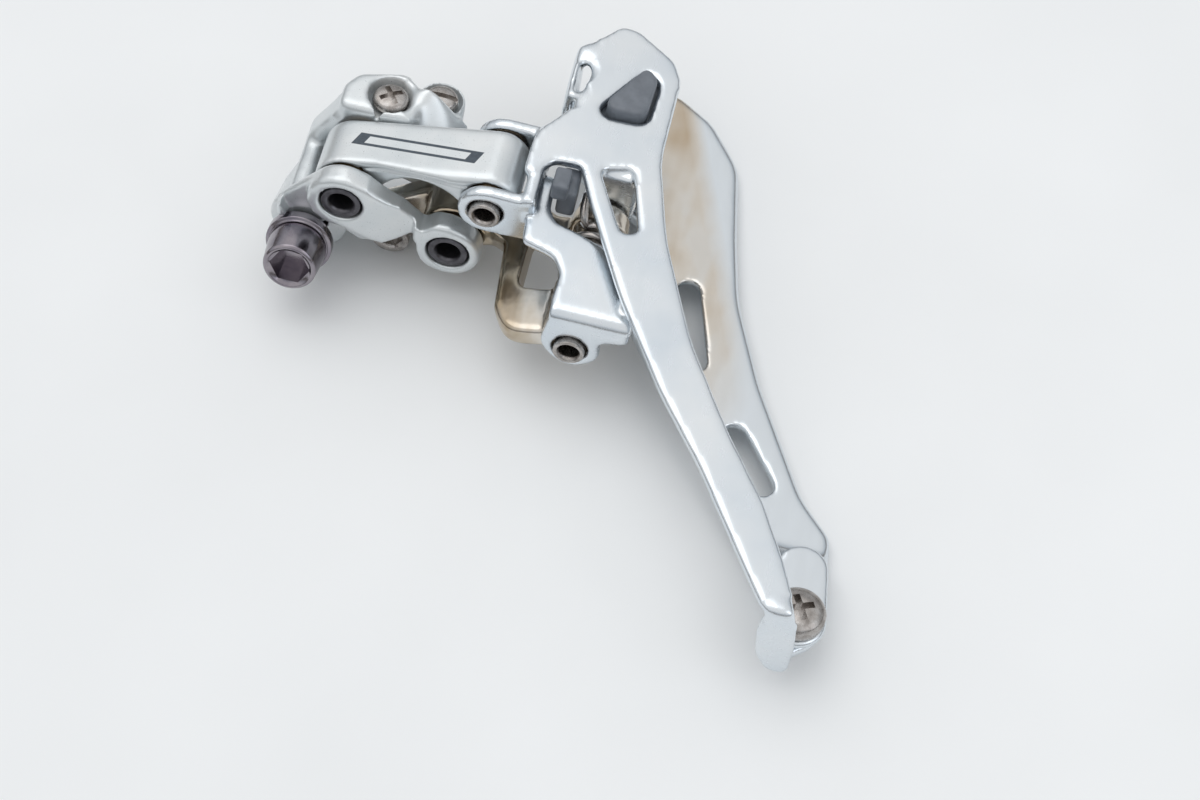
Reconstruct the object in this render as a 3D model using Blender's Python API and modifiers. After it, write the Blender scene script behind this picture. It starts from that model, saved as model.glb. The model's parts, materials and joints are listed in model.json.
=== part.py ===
"""Front derailleur for a bicycle, modelled as separate pieces in millimetre-true size.

Design frame, before the part is laid on the table: +X points outboard (away from the frame),
+Y points forward along the pivot pins, +Z points up. The origin is the upper outer pivot's axis
at the rear face of the body. The empty "lying_down" turns everything to the pose at rest.
"""
import math

import bmesh
import bpy
from mathutils import Euler, Matrix, Vector

MM = 0.001

# ---------------------------------------------------------------- driving dimensions, mm and degrees
GAP = 0.3                       # clearance between touching pieces

# four-bar linkage, seen along the pins
LINK_LENGTH = 20.5              # pivot to pivot of both links
LINK_ANGLE = -75.3              # outer link's direction from outboard, at rest
BODY_PIVOT_DROP = 15.5          # inner pivot below outer pivot on the body
BODY_PIVOT_INSET = 5.0          # inner pivot inboard of outer pivot
ARM_REAR = 3.6                  # thickness of the body's rear arm, from Y = 0
ARM_SPAN = 9.1                  # room between the two arms, along the pins
ARM_FRONT = 4.6                 # thickness of the front arm
ARM_RADIUS = 4.8                # lobes of the body's arms round the pivots

# pivot pins: hollow, the body's pair larger than the cage's pair
BODY_PIN_RADIUS = 2.8
BODY_PIN_BORE = 1.65
CAGE_PIN_RADIUS = 2.15
CAGE_PIN_BORE = 1.35
BUSH_WALL = 0.5
BODY_BOSS_RADIUS = 4.7          # link bosses on the body's pins
CAGE_BOSS_RADIUS = 4.1          # link bosses on the cage's pins
BLIND_SEAT = 1.3                # upper pin's depth in the front arm, short of the limit screw
PIN_PROUD = 0.6                 # cage pins stand out of their lugs by this

# mounting saddle and bolt
SADDLE_CENTRE = (-10.4, 4.0, 5.2)
BOLT_YAW = 12.4                 # bolt axis turned outboard from straight back
SADDLE_RADIUS = 5.6
SADDLE_CURVE = 20.0             # radius of the curved seat, about a vertical axis
TAB_GAP = 3.6                   # room for the frame's mounting tab
WASHER_RADIUS = 4.7
WASHER_THICKNESS = 1.7
BOLT_HEAD_RADIUS = 4.1
BOLT_HEAD_HEIGHT = 5.0
BOLT_HEX = 5.0                  # key width across flats
BOLT_HEX_DEPTH = 3.2
BOLT_SHANK_RADIUS = 2.4
BOLT_REACH = 8.0                # shank's depth in the saddle

# body casting
WALL_INNER_Z = 5.1              # back wall behind the outer pivot's boss
WALL_THICKNESS = 3.1
BLOCK_TOP = 6.0                 # outboard face of the limit screw block
BLOCK_BOTTOM = -4.4
LUMP_TOP = 3.4                  # outboard face round the second limit screw
LIMIT_HEAD_RADIUS = 2.35
LIMIT_HEAD_HEIGHT = 1.6
LIMIT_SHANK_RADIUS = 1.6
LIMIT_WELL_RADIUS = 3.2

# links
INNER_LINK_REAR = 13.0          # how far the inner link's cage boss reaches behind Y = 0
INNER_LINK_THICKNESS = 3.4
CABLE_ARM_LENGTH = 10.8
CABLE_ARM_ANGLE = 124.0         # arm's direction from outboard, seen along the pins
CABLE_BOLT_RADIUS = 2.2
CABLE_ARM_REAR = 9.2            # arm's rear face, where the cable is pinched

# cage
PLATE_TOP = 10.0                # outer plate's outboard face
PLATE_THICKNESS = 1.5
CAGE_WIDTH = 10.5               # between the plates
INNER_THICKNESS = 1.2
INNER_RIM = 2.6                 # how far the inner plate's border turns inboard
RIM_BEND = 1.1
LUG_THICKNESS = 1.9
LUG_RADIUS = 4.0
TAB_TOP = 7.0                   # step-down tab that carries the lower rear lug
TAIL_SCREW_RADIUS = 3.6
TONGUE_RADIUS = 4.0

# return spring on the lower inner pivot
SPRING_WIRE = 1.25
SPRING_RADIUS = 3.45
SPRING_TURNS = 4.0
SPRING_PITCH = 1.8

# pose on the table
REST_TURN = (-20.408, -77.837, 19.986)   # degrees about X, Y and Z


# ---------------------------------------------------------------- places worked out from the sizes
def onLink(angle):
    return LINK_LENGTH * math.cos(math.radians(angle)), LINK_LENGTH * math.sin(math.radians(angle))


P1 = (0.0, 0.0)
P2 = (-BODY_PIVOT_INSET, -BODY_PIVOT_DROP)
P3 = onLink(LINK_ANGLE)
P4 = (P2[0] + P3[0], P2[1] + P3[1])
FRONT_ARM_Y = ARM_REAR + ARM_SPAN
BODY_FRONT_Y = FRONT_ARM_Y + ARM_FRONT
LINK_REAR_Y = ARM_REAR + GAP
LINK_FRONT_Y = FRONT_ARM_Y - GAP
INNER_TOP = PLATE_TOP - PLATE_THICKNESS - CAGE_WIDTH
BODY_BORE = BODY_PIN_RADIUS + GAP
CAGE_BORE = CAGE_PIN_RADIUS + GAP
BODY_BUSH = BODY_BORE + BUSH_WALL
CAGE_BUSH = CAGE_BORE + BUSH_WALL

COLOURS = {                      # sRGB hex, roughness, metallic
    "cast_aluminium": ("D6D9DB", 0.38, 1.0),
    "sheet_aluminium": ("CDD8DE", 0.34, 1.0),
    "nickel_steel": ("B8AA96", 0.24, 1.0),
    "dark_chrome": ("8E8A8C", 0.22, 1.0),
    "steel": ("A9A29B", 0.3, 1.0),
    "bronze": ("9A7A4A", 0.4, 1.0),
    "plastic": ("2E3236", 0.5, 0.0),
}


# ---------------------------------------------------------------- scene helpers
def clearScene():
    for obj in list(bpy.data.objects):
        bpy.data.objects.remove(obj, do_unlink=True)


def collection(name):
    found = bpy.data.collections.get(name) or bpy.data.collections.new(name)
    if name not in bpy.context.scene.collection.children:
        bpy.context.scene.collection.children.link(found)
    return found


clearScene()
PARTS = collection("front_derailleur")
CUTTERS = collection("cutters")
LYING = bpy.data.objects.new("lying_down", None)
PARTS.objects.link(LYING)


def linear(hexColour):
    values = [int(hexColour[i:i + 2], 16) / 255 for i in (0, 2, 4)]
    return [v / 12.92 if v <= 0.04045 else ((v + 0.055) / 1.055) ** 2.4 for v in values] + [1.0]


def material(name):
    found = bpy.data.materials.get(name)
    if found:
        return found
    colour, roughness, metallic = COLOURS[name]
    found = bpy.data.materials.new(name)
    found.use_nodes = True
    shader = found.node_tree.nodes["Principled BSDF"]
    shader.inputs["Base Color"].default_value = linear(colour)
    shader.inputs["Roughness"].default_value = roughness
    shader.inputs["Metallic"].default_value = metallic
    return found


def addObject(name, mesh, spin=(0, 0, 0), place=(0, 0, 0)):
    obj = bpy.data.objects.new(name, mesh)
    CUTTERS.objects.link(obj)
    obj.location = Vector(place) * MM
    obj.rotation_euler = Euler([math.radians(a) for a in spin])
    obj.parent = LYING
    obj.hide_render = True
    obj.display_type = "WIRE"
    return obj


def makePart(obj, finish, sharp=35):
    """A finished piece: shown, coloured and smooth where it is round."""
    CUTTERS.objects.unlink(obj)
    PARTS.objects.link(obj)
    obj.hide_render = False
    obj.display_type = "SOLID"
    obj.data.materials.clear()
    obj.data.materials.append(material(finish))
    obj.data.shade_smooth()
    obj.data.set_sharp_from_angle(angle=math.radians(sharp))
    return obj


def evaluated(obj):
    bpy.context.view_layer.update()
    graph = bpy.context.evaluated_depsgraph_get()
    return bpy.data.meshes.new_from_object(obj.evaluated_get(graph))


def bake(obj):
    """Turn the object's modifiers into its mesh."""
    mesh = evaluated(obj)
    old = obj.data
    obj.modifiers.clear()
    obj.data = mesh
    if old.users == 0:
        bpy.data.meshes.remove(old)
    return obj


def bevel(obj, width, segments=2, angle=40):
    mod = obj.modifiers.new("rounded", "BEVEL")
    mod.width = width * MM
    mod.segments = segments
    mod.limit_method = "ANGLE"
    mod.angle_limit = math.radians(angle)
    return obj


def combine(obj, other, operation):
    mod = obj.modifiers.new(operation.lower(), "BOOLEAN")
    mod.operation = operation
    mod.object = other
    mod.solver = "EXACT"
    return obj


def join(obj, *others):
    for other in others:
        combine(obj, other, "UNION")
    return obj


def cut(obj, *others):
    for other in others:
        combine(obj, other, "DIFFERENCE")
    return obj


# ---------------------------------------------------------------- outlines, as lists of 2D points
def arc(centre, radius, start, end, steps=8):
    turns = [math.radians(start + (end - start) * i / steps) for i in range(steps + 1)]
    return [(centre[0] + radius * math.cos(a), centre[1] + radius * math.sin(a)) for a in turns]


def circle(centre, radius, steps=24):
    return arc(centre, radius, 0, 360, steps)[:-1]


def strap(first, firstRadius, second, secondRadius, steps=9):
    """The outline round two circles and the tangents between them."""
    dx, dy = second[0] - first[0], second[1] - first[1]
    heading = math.degrees(math.atan2(dy, dx))
    lean = math.degrees(math.acos((firstRadius - secondRadius) / math.hypot(dx, dy)))
    return (arc(first, firstRadius, heading + lean, heading + 360 - lean, steps)
            + arc(second, secondRadius, heading - lean, heading + lean, steps))


def rounded(corners, steps=4):
    """A polygon of (x, y, radius) corners, each rounded by an arc."""
    points = []
    for i, (x, y, radius) in enumerate(corners):
        here = Vector((x, y))
        back = Vector(corners[i - 1][:2]) - here
        ahead = Vector(corners[(i + 1) % len(corners)][:2]) - here
        room = min(back.length, ahead.length) * 0.48
        back, ahead = back.normalized(), ahead.normalized()
        half = math.acos(max(-1.0, min(1.0, back.dot(ahead)))) / 2
        reach = min(radius / math.tan(half), room)
        if reach < 0.05:
            points.append((x, y))
            continue
        middle = here + (back + ahead).normalized() * (reach / math.cos(half))
        first = (here + back * reach) - middle
        last = (here + ahead * reach) - middle
        sweep = first.angle_signed(last)
        for step in range(steps + 1):
            turned = first.copy()
            turned.rotate(Matrix.Rotation(-sweep * step / steps, 2))
            points.append(tuple(middle + turned))
    return points


# ---------------------------------------------------------------- solids
def flat(name, loops, thickness, spin=(0, 0, 0), place=(0, 0, 0)):
    """A flat outline with its holes, filled and given its thickness about the local XY plane."""
    curve = bpy.data.curves.new(name, "CURVE")
    curve.dimensions = "2D"
    curve.fill_mode = "BOTH"
    curve.extrude = thickness * MM / 2
    for loop in loops:
        spline = curve.splines.new("POLY")
        spline.points.add(len(loop) - 1)
        for point, (x, y) in zip(spline.points, loop):
            point.co = (x * MM, y * MM, 0, 1)
        spline.use_cyclic_u = True
    holder = addObject(name + "_outline", curve)
    mesh = evaluated(holder)
    bpy.data.objects.remove(holder, do_unlink=True)
    bm = bmesh.new()
    bm.from_mesh(mesh)
    bmesh.ops.remove_doubles(bm, verts=bm.verts, dist=0.00001)
    bmesh.ops.dissolve_limit(bm, angle_limit=math.radians(1), verts=bm.verts, edges=bm.edges)
    bmesh.ops.recalc_face_normals(bm, faces=bm.faces)
    bm.to_mesh(mesh)
    bm.free()
    mesh.materials.clear()
    return addObject(name, mesh, spin, place)


SIDE = (90, 0, 0)                # local x, y -> X, Z and the extrusion along the pins
FACE = (90, 0, 90)               # local x, y -> Y, Z and the extrusion outboard


def acrossPins(name, loops, low, high):
    """A prism whose outline is in (X, Z), from Y = low to Y = high."""
    return flat(name, loops, high - low, SIDE, (0, (low + high) / 2, 0))


def outboard(name, loops, low, high):
    """A prism whose outline is in (Y, Z), from X = low to X = high."""
    return flat(name, loops, high - low, FACE, ((low + high) / 2, 0, 0))


def turned(name, profile, spin=(0, 0, 0), place=(0, 0, 0), steps=24, closed=False):
    """A turned solid: (radius, height) points run down the outer side."""
    mesh = bpy.data.meshes.new(name)
    bm = bmesh.new()
    verts = [bm.verts.new((r * MM, 0, h * MM)) for r, h in profile]
    pairs = list(zip(verts, verts[1:]))
    if closed:
        pairs.append((verts[-1], verts[0]))
    for a, b in pairs:
        bm.edges.new((a, b))
    bm.to_mesh(mesh)
    bm.free()
    obj = addObject(name, mesh, spin, place)
    mod = obj.modifiers.new("turned", "SCREW")
    mod.steps = mod.render_steps = steps
    mod.use_merge_vertices = True
    mod.merge_threshold = 0.00001
    mod.use_normal_calculate = False
    return bake(obj)


def rod(name, radius, low, high, at, chamfer=0.0, steps=24):
    """A round bar along the pins, at (X, Z)."""
    c = chamfer
    profile = [(0, -low), (radius - c, -low), (radius, -low - c), (radius, -high + c), (radius - c, -high),
               (0, -high)]
    if c == 0:
        profile = [(0, -low), (radius, -low), (radius, -high), (0, -high)]
    return turned(name, profile, SIDE, (at[0], 0, at[1]), steps)


def tube(name, radius, bore, low, high, at, chamfer=0.25, steps=24):
    """A hollow pin or bush along the pins, at (X, Z)."""
    c = min(chamfer, (radius - bore) / 3)
    profile = [(bore, -low), (radius - c, -low), (radius, -low - c), (radius, -high + c),
               (radius - c, -high), (bore, -high)]
    return turned(name, profile, SIDE, (at[0], 0, at[1]), steps, closed=True)


def box(name, low, high, radius=0.0, segments=2):
    """A block between two corners, its edges rounded."""
    mesh = bpy.data.meshes.new(name)
    bm = bmesh.new()
    bmesh.ops.create_cube(bm, size=1)
    size = [(b - a) * MM for a, b in zip(low, high)]
    bmesh.ops.scale(bm, vec=size, verts=bm.verts)
    bm.to_mesh(mesh)
    bm.free()
    obj = addObject(name, mesh, place=[(a + b) / 2 for a, b in zip(low, high)])
    if radius:
        bevel(obj, radius, segments)
        bake(obj)
    return obj


def hull(name, points):
    """The tightest solid round a set of points."""
    mesh = bpy.data.meshes.new(name)
    bm = bmesh.new()
    for x, y, z in points:
        bm.verts.new((x * MM, y * MM, z * MM))
    result = bmesh.ops.convex_hull(bm, input=bm.verts[:])
    bmesh.ops.delete(bm, geom=[g for g in result["geom_interior"] if isinstance(g, bmesh.types.BMVert)],
                     context="VERTS")
    bmesh.ops.dissolve_limit(bm, angle_limit=math.radians(1), verts=bm.verts, edges=bm.edges)
    bmesh.ops.recalc_face_normals(bm, faces=bm.faces)
    bm.to_mesh(mesh)
    bm.free()
    return addObject(name, mesh)


def hexCutter(name, across, low, high, spin, place):
    mesh = bpy.data.meshes.new(name)
    bm = bmesh.new()
    radius = across / math.sqrt(3) * MM
    bmesh.ops.create_cone(bm, cap_ends=True, segments=6, radius1=radius, radius2=radius, depth=(high - low) * MM)
    bmesh.ops.translate(bm, vec=(0, 0, (high + low) / 2 * MM), verts=bm.verts)
    bm.to_mesh(mesh)
    bm.free()
    return addObject(name, mesh, spin, place)


# ---------------------------------------------------------------- body, bolt and screws
def alongBolt(distance):
    """A point on the bolt's axis, so far behind the saddle."""
    yaw = math.radians(BOLT_YAW)
    return (SADDLE_CENTRE[0] + distance * math.sin(yaw), SADDLE_CENTRE[1] - distance * math.cos(yaw),
            SADDLE_CENTRE[2])


BOLT_SPIN = (90, 0, BOLT_YAW)
LIMIT_PLACES = {                 # screw name: top of its seat (X), then Y and Z
    "limit_screw_inner": (BLOCK_TOP - 2.0, FRONT_ARM_Y + 4.0, -2.8),
    "limit_screw_outer": (LUMP_TOP - 1.6, FRONT_ARM_Y + 8.0, -9.3),
}


def armWaist(low, high):
    """A cutter that draws the arm in between its lobes on the outboard side."""
    reach = 16.0
    length = math.hypot(*P2)
    across = (-P2[1] / length, P2[0] / length)
    offset = ARM_RADIUS - 1.4 + reach
    middle = (P2[0] * 0.52 + across[0] * offset, P2[1] * 0.52 + across[1] * offset)
    return acrossPins("arm_waist", [circle(middle, reach, 64)], low - 1, high + 1)


def bodyArm(name, low, high):
    arm = acrossPins(name, [strap(P1, ARM_RADIUS, P2, ARM_RADIUS - 0.2, 12)], low, high)
    bake(cut(arm, armWaist(low, high)))
    return bake(bevel(arm, 0.7, 2, 50))


def bodyCasting():
    body = bodyArm("body_casting", 0, ARM_REAR)
    front = bodyArm("front_arm", FRONT_ARM_Y, BODY_FRONT_Y)
    rearRoot = acrossPins("rear_root", [strap(P1, ARM_RADIUS - 0.05, (-4.5, 5.6), 3.4)], 0.05, ARM_REAR - 0.05)
    bake(bevel(rearRoot, 0.7, 2, 50))
    seat, base = alongBolt(-0.9), alongBolt(-7.5)
    shoulder = hull("shoulder", [(seat[0] + SADDLE_RADIUS * math.cos(a), seat[1], seat[2] + SADDLE_RADIUS * math.sin(a))
                                 for a in [math.pi * i / 12 for i in range(24)]]
                    + [(base[0] + 5.2 * math.cos(a), base[1], base[2] + 5.2 * math.sin(a))
                       for a in [math.pi * i / 12 for i in range(24)]]
                    + [(x, FRONT_ARM_Y + y, z) for x, y, z in ((-12.5, 4.4, 0.4), (-12.5, 4.4, 5.6), (-5.4, 6.8, 5.9),
                                                               (-5.4, 6.8, -1.5), (-5.4, 0.6, 6.6))])
    bake(cut(shoulder, turned("seat_curve", [(0, 9), (SADDLE_CURVE, 9), (SADDLE_CURVE, -9), (0, -9)],
                              place=alongBolt(SADDLE_CURVE - 0.9), steps=120)))
    wall = box("back_wall", (-9.0, 0.7, WALL_INNER_Z), (-3.2, FRONT_ARM_Y + 4.5, WALL_INNER_Z + WALL_THICKNESS), 1.2, 3)
    block = outboard("limit_block", [rounded([(FRONT_ARM_Y, 3.9, 1.5), (17.0, 4.0, 3.0), (19.6, 2.4, 2.5), (21.5, -4.0, 2.5),
                                              (19.4, -7.3, 2.0), (FRONT_ARM_Y, -7.4, 1.5)], 4)], BLOCK_BOTTOM, BLOCK_TOP)
    bake(bevel(block, 1.1, 3, 50))
    link = box("block_root", (-7.0, FRONT_ARM_Y + 0.3, 0.5), (-1.0, FRONT_ARM_Y + 5.5, 6.0), 1.2, 3)
    screwY = LIMIT_PLACES["limit_screw_outer"][1]
    lump = hull("limit_lump", [(x, screwY + r * math.cos(a), -9.3 + r * math.sin(a))
                               for x, r in ((LUMP_TOP, 2.9), (LUMP_TOP - 1.0, 3.5), (-4.0, 3.2))
                               for a in [math.pi * i / 10 for i in range(20)]]
                + [(x, y, z) for x in (-4.6, 1.0) for y in (FRONT_ARM_Y + 0.6, FRONT_ARM_Y + 4.2) for z in (-5.0, -13.0)])
    join(body, front, rearRoot, wall, shoulder, block, link, lump)
    bake(body)
    cut(body, rod("bore_upper", BODY_BORE, -2, FRONT_ARM_Y + BLIND_SEAT + GAP, P1),
        rod("bore_lower", BODY_BORE, -2, BODY_FRONT_Y + 1.6, P2),
        turned("bolt_bore", [(0, 14), (WASHER_RADIUS + GAP, 14), (WASHER_RADIUS + GAP, TAB_GAP - GAP),
                             (BOLT_SHANK_RADIUS + GAP, TAB_GAP - GAP), (BOLT_SHANK_RADIUS + GAP, -BOLT_REACH - 0.6),
                             (0, -BOLT_REACH - 0.6)], BOLT_SPIN, SADDLE_CENTRE, 40))
    for name, (top, y, z) in LIMIT_PLACES.items():
        well = turned(name + "_well", [(0, 6), (LIMIT_WELL_RADIUS + 0.5, 6), (LIMIT_WELL_RADIUS, 1.2),
                                       (LIMIT_HEAD_RADIUS + GAP + 0.1, 0), (LIMIT_SHANK_RADIUS + GAP, 0),
                                       (LIMIT_SHANK_RADIUS + GAP, -5.4), (0, -5.4)],
                      (0, 90, 0), (top, y, z), 28)
        cut(body, well)
    notch = outboard("notch", [[(FRONT_ARM_Y + 0.6, -2.2), (FRONT_ARM_Y + 2.4, -4.0), (FRONT_ARM_Y + 2.4, -0.6)]],
                     BLOCK_TOP - 1.6, BLOCK_TOP + 1)
    cut(body, notch)
    return makePart(bake(body), "cast_aluminium")


def mountingBolt():
    under = TAB_GAP + WASHER_THICKNESS + GAP
    top = under + BOLT_HEAD_HEIGHT
    head, edge = BOLT_HEAD_RADIUS, 0.8
    bolt = turned("mounting_bolt", [(0, top), (head - edge, top), (head - edge * 0.3, top - edge * 0.3),
                                    (head, top - edge), (head, under), (BOLT_SHANK_RADIUS, under),
                                    (BOLT_SHANK_RADIUS, 0.4 - BOLT_REACH), (BOLT_SHANK_RADIUS - 0.4, -BOLT_REACH),
                                    (0, -BOLT_REACH)],
                  BOLT_SPIN, SADDLE_CENTRE, 40)
    socket = hexCutter("bolt_socket", BOLT_HEX, top - BOLT_HEX_DEPTH, top + 1, BOLT_SPIN, SADDLE_CENTRE)
    rim = turned("bolt_rim", [(0, top + 1), (3.6, top + 1), (2.7, top - 0.35), (0, top - 0.35)],
                 BOLT_SPIN, SADDLE_CENTRE, 32)
    return makePart(bake(cut(bolt, socket, rim)), "dark_chrome")


def mountingWasher():
    low, high = TAB_GAP, TAB_GAP + WASHER_THICKNESS
    bore = BOLT_SHANK_RADIUS + GAP
    profile = [(bore, high), (WASHER_RADIUS - 0.6, high), (WASHER_RADIUS, high - 0.6), (WASHER_RADIUS, low + 0.3),
               (WASHER_RADIUS - 0.3, low), (bore, low)]
    return makePart(turned("mounting_washer", profile, BOLT_SPIN, SADDLE_CENTRE, 40, closed=True), "dark_chrome")


def slottedScrew(name, place, headRadius, headHeight, shankRadius, length, finish="steel", spin=(0, 90, 0)):
    """A slotted screw whose head's underside is GAP above its place."""
    low, top = GAP, GAP + headHeight
    screw = turned(name, [(0, top), (headRadius * 0.55, top - 0.05), (headRadius * 0.9, top - 0.35),
                          (headRadius, top - 0.75), (headRadius, low), (shankRadius, low),
                          (shankRadius, -length + 0.4), (shankRadius - 0.4, -length), (0, -length)],
                   spin, place, 28)
    slot = box(name + "_slot", (-headRadius * 2, -0.4, top - 0.8), (headRadius * 2, 0.4, top + 1))
    slot.location = Vector(place) * MM
    slot.rotation_euler = Euler([math.radians(a) for a in spin])
    slot.data.transform(Matrix.Translation((0, 0, (2 * top + 0.2) / 2 * MM)))
    return makePart(bake(cut(screw, slot)), finish)


# ---------------------------------------------------------------- links, pins and bushes
def linkFrame(start, angle):
    """Rotation of a plate whose local x runs along the pins and local y along a link."""
    spin = Matrix.Rotation(math.radians(angle - 90), 3, "Y").inverted() @ Euler([math.radians(a) for a in FACE]).to_matrix()
    return [math.degrees(a) for a in spin.to_euler()], start


def outerLink():
    """Arched link: two bosses bridged by the outboard face, which widens rearwards at the cage."""
    rear = LUG_THICKNESS + GAP
    link = acrossPins("outer_link", [strap(P1, BODY_BOSS_RADIUS, P3, CAGE_BOSS_RADIUS, 14)], rear, LINK_FRONT_Y)
    bake(bevel(link, 1.2, 3, 50))
    turn = math.radians(LINK_ANGLE)
    along, inward = (math.cos(turn), math.sin(turn)), (math.sin(turn), -math.cos(turn))

    def at(u, v):
        return (along[0] * u + inward[0] * v, along[1] * u + inward[1] * v)

    spin, place = linkFrame((0, 0, 0), LINK_ANGLE)
    step = flat("outer_link_step", [rounded([(rear - 2, -8, 0), (rear - 2, LINK_LENGTH - 4.6, 0), (rear + 0.05, LINK_LENGTH - 4.6, 0),
                                             (LINK_REAR_Y - 0.6, 9.0, 8), (LINK_REAR_Y, 4.9, 0), (LINK_REAR_Y, -8, 0)], 4)],
                20, spin, place)
    arch = acrossPins("outer_link_arch", [circle(at(10.5, 4.7), 7.1, 40)], rear - 1, LINK_FRONT_Y - 1.6)
    cut(link, step, arch, rod("boss_room", BODY_BOSS_RADIUS + GAP + 0.2, LINK_REAR_Y - 1, LINK_FRONT_Y + 1, P2),
        rod("link_bore_upper", BODY_BUSH + GAP, LINK_REAR_Y - 1, LINK_FRONT_Y + 1, P1),
        rod("link_bore_lower", CAGE_BUSH + GAP, 0, LINK_FRONT_Y + 1, P3))
    return makePart(bake(link), "cast_aluminium")


def innerLink():
    """Cast link, wide at the cage, where it steps back behind the body's rear arm."""
    rear, front = -INNER_LINK_REAR - 0.3, LINK_FRONT_Y
    spin, place = linkFrame((P4[0], 0, P4[1]), LINK_ANGLE + 180)
    outline = rounded([(rear, -2.4, 1.2), (rear, 9.4, 4.0), (-9.0, 11.6, 3.0), (LINK_REAR_Y - 1.5, 12.6, 1.4),
                       (LINK_REAR_Y, LINK_LENGTH - ARM_RADIUS - 0.8, 1.0), (LINK_REAR_Y, LINK_LENGTH + 1, 1.2),
                       (front, LINK_LENGTH + 1, 1.2),
                       (front, 11.0, 3.0), (8.1, 6.0, 2.0), (8.1, -2.4, 1.2)], 4)
    window = rounded([(-5.6, -4.5, 0), (4.8, -4.5, 0), (4.8, 9.2, 1.6), (-5.6, 9.2, 1.6)], 4)
    link = flat("inner_link", [outline], INNER_LINK_THICKNESS, spin, (P4[0] - 1.0, 0, P4[1]))
    bake(bevel(link, 0.8, 2, 50))
    gate = flat("inner_link_window", [window], 12, spin, place)
    upper = acrossPins("inner_boss_body", [circle(P2, BODY_BOSS_RADIUS, 36)], LINK_REAR_Y, LINK_FRONT_Y)
    rearBoss = acrossPins("inner_boss_rear", [circle(P4, CAGE_BOSS_RADIUS, 32)], rear, -4.6)
    frontBoss = acrossPins("inner_boss_front", [circle(P4, CAGE_BOSS_RADIUS, 32)], 4.9, 8.1)
    for boss in (upper, rearBoss, frontBoss):
        bake(bevel(boss, 0.5, 2, 50))
    turn = math.radians(CABLE_ARM_ANGLE)
    end = (P2[0] + CABLE_ARM_LENGTH * math.cos(turn), P2[1] + CABLE_ARM_LENGTH * math.sin(turn))
    arm = acrossPins("cable_arm", [strap(P2, BODY_BOSS_RADIUS - 0.6, end, CABLE_BOLT_RADIUS + 1.4, 10)],
                     CABLE_ARM_REAR, LINK_FRONT_Y - 0.1)
    bake(bevel(arm, 0.7, 2, 50))
    cut(link, gate)
    bake(link)
    join(link, upper, rearBoss, frontBoss, arm)
    bake(link)
    cut(link, rod("inner_bore_upper", BODY_BUSH + GAP, LINK_REAR_Y - 1, LINK_FRONT_Y + 1, P2),
        rod("inner_bore_lower", CAGE_BUSH + GAP, rear - 1, 9.5, P4),
        rod("anchor_bore", CABLE_BOLT_RADIUS + GAP, 5, 14, end))
    return makePart(bake(link), "nickel_steel"), end


def pinsAndBushes():
    lugRear, lugFront = -PIN_PROUD, FRONT_ARM_Y + LUG_THICKNESS + 0.4
    lowRear = -INNER_LINK_REAR - 0.6 - LUG_THICKNESS - PIN_PROUD
    makePart(tube("pivot_pin_body_outer", BODY_PIN_RADIUS, BODY_PIN_BORE, 0.25, FRONT_ARM_Y + BLIND_SEAT, P1), "dark_chrome")
    makePart(tube("pivot_pin_body_inner", BODY_PIN_RADIUS, BODY_PIN_BORE, 0.25, BODY_FRONT_Y, P2), "dark_chrome")
    makePart(tube("pivot_pin_cage_outer", CAGE_PIN_RADIUS, CAGE_PIN_BORE, lugRear, lugFront, P3), "nickel_steel")
    makePart(tube("pivot_pin_cage_inner", CAGE_PIN_RADIUS, CAGE_PIN_BORE, lowRear, 10.7, P4), "nickel_steel")
    makePart(tube("bush_body_outer", BODY_BUSH, BODY_BORE, LINK_REAR_Y, LINK_FRONT_Y, P1, 0.1), "bronze")
    makePart(tube("bush_body_inner", BODY_BUSH, BODY_BORE, LINK_REAR_Y, LINK_FRONT_Y, P2, 0.1), "bronze")
    makePart(tube("bush_cage_outer", CAGE_BUSH, CAGE_BORE, LUG_THICKNESS + GAP, LINK_FRONT_Y, P3, 0.1), "bronze")
    makePart(tube("bush_cage_inner", CAGE_BUSH, CAGE_BORE, -INNER_LINK_REAR - 0.3, -4.6, P4, 0.1), "bronze")


def cableAnchor(end):
    low = GAP - CABLE_ARM_REAR
    high = low + 1.3
    bore = CABLE_BOLT_RADIUS + GAP
    washer = turned("cable_pinch_washer", [(bore, high), (3.5, high), (3.8, high - 0.3), (3.8, low), (bore, low)],
                    SIDE, (end[0], 0, end[1]), 28, closed=True)
    makePart(washer, "steel")
    under = high + GAP
    top = under + 2.2
    radius = CABLE_BOLT_RADIUS
    bolt = turned("cable_anchor_bolt", [(0, top), (3.0, top), (3.4, top - 0.4), (3.4, under), (radius, under),
                                        (radius, -LINK_FRONT_Y - 0.7), (radius - 0.3, -LINK_FRONT_Y - 1.0),
                                        (0, -LINK_FRONT_Y - 1.0)], SIDE, (end[0], 0, end[1]), 28)
    socket = hexCutter("anchor_socket", 3.0, top - 1.4, top + 1, SIDE, (end[0], 0, end[1]))
    return makePart(bake(cut(bolt, socket)), "steel")


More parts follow.
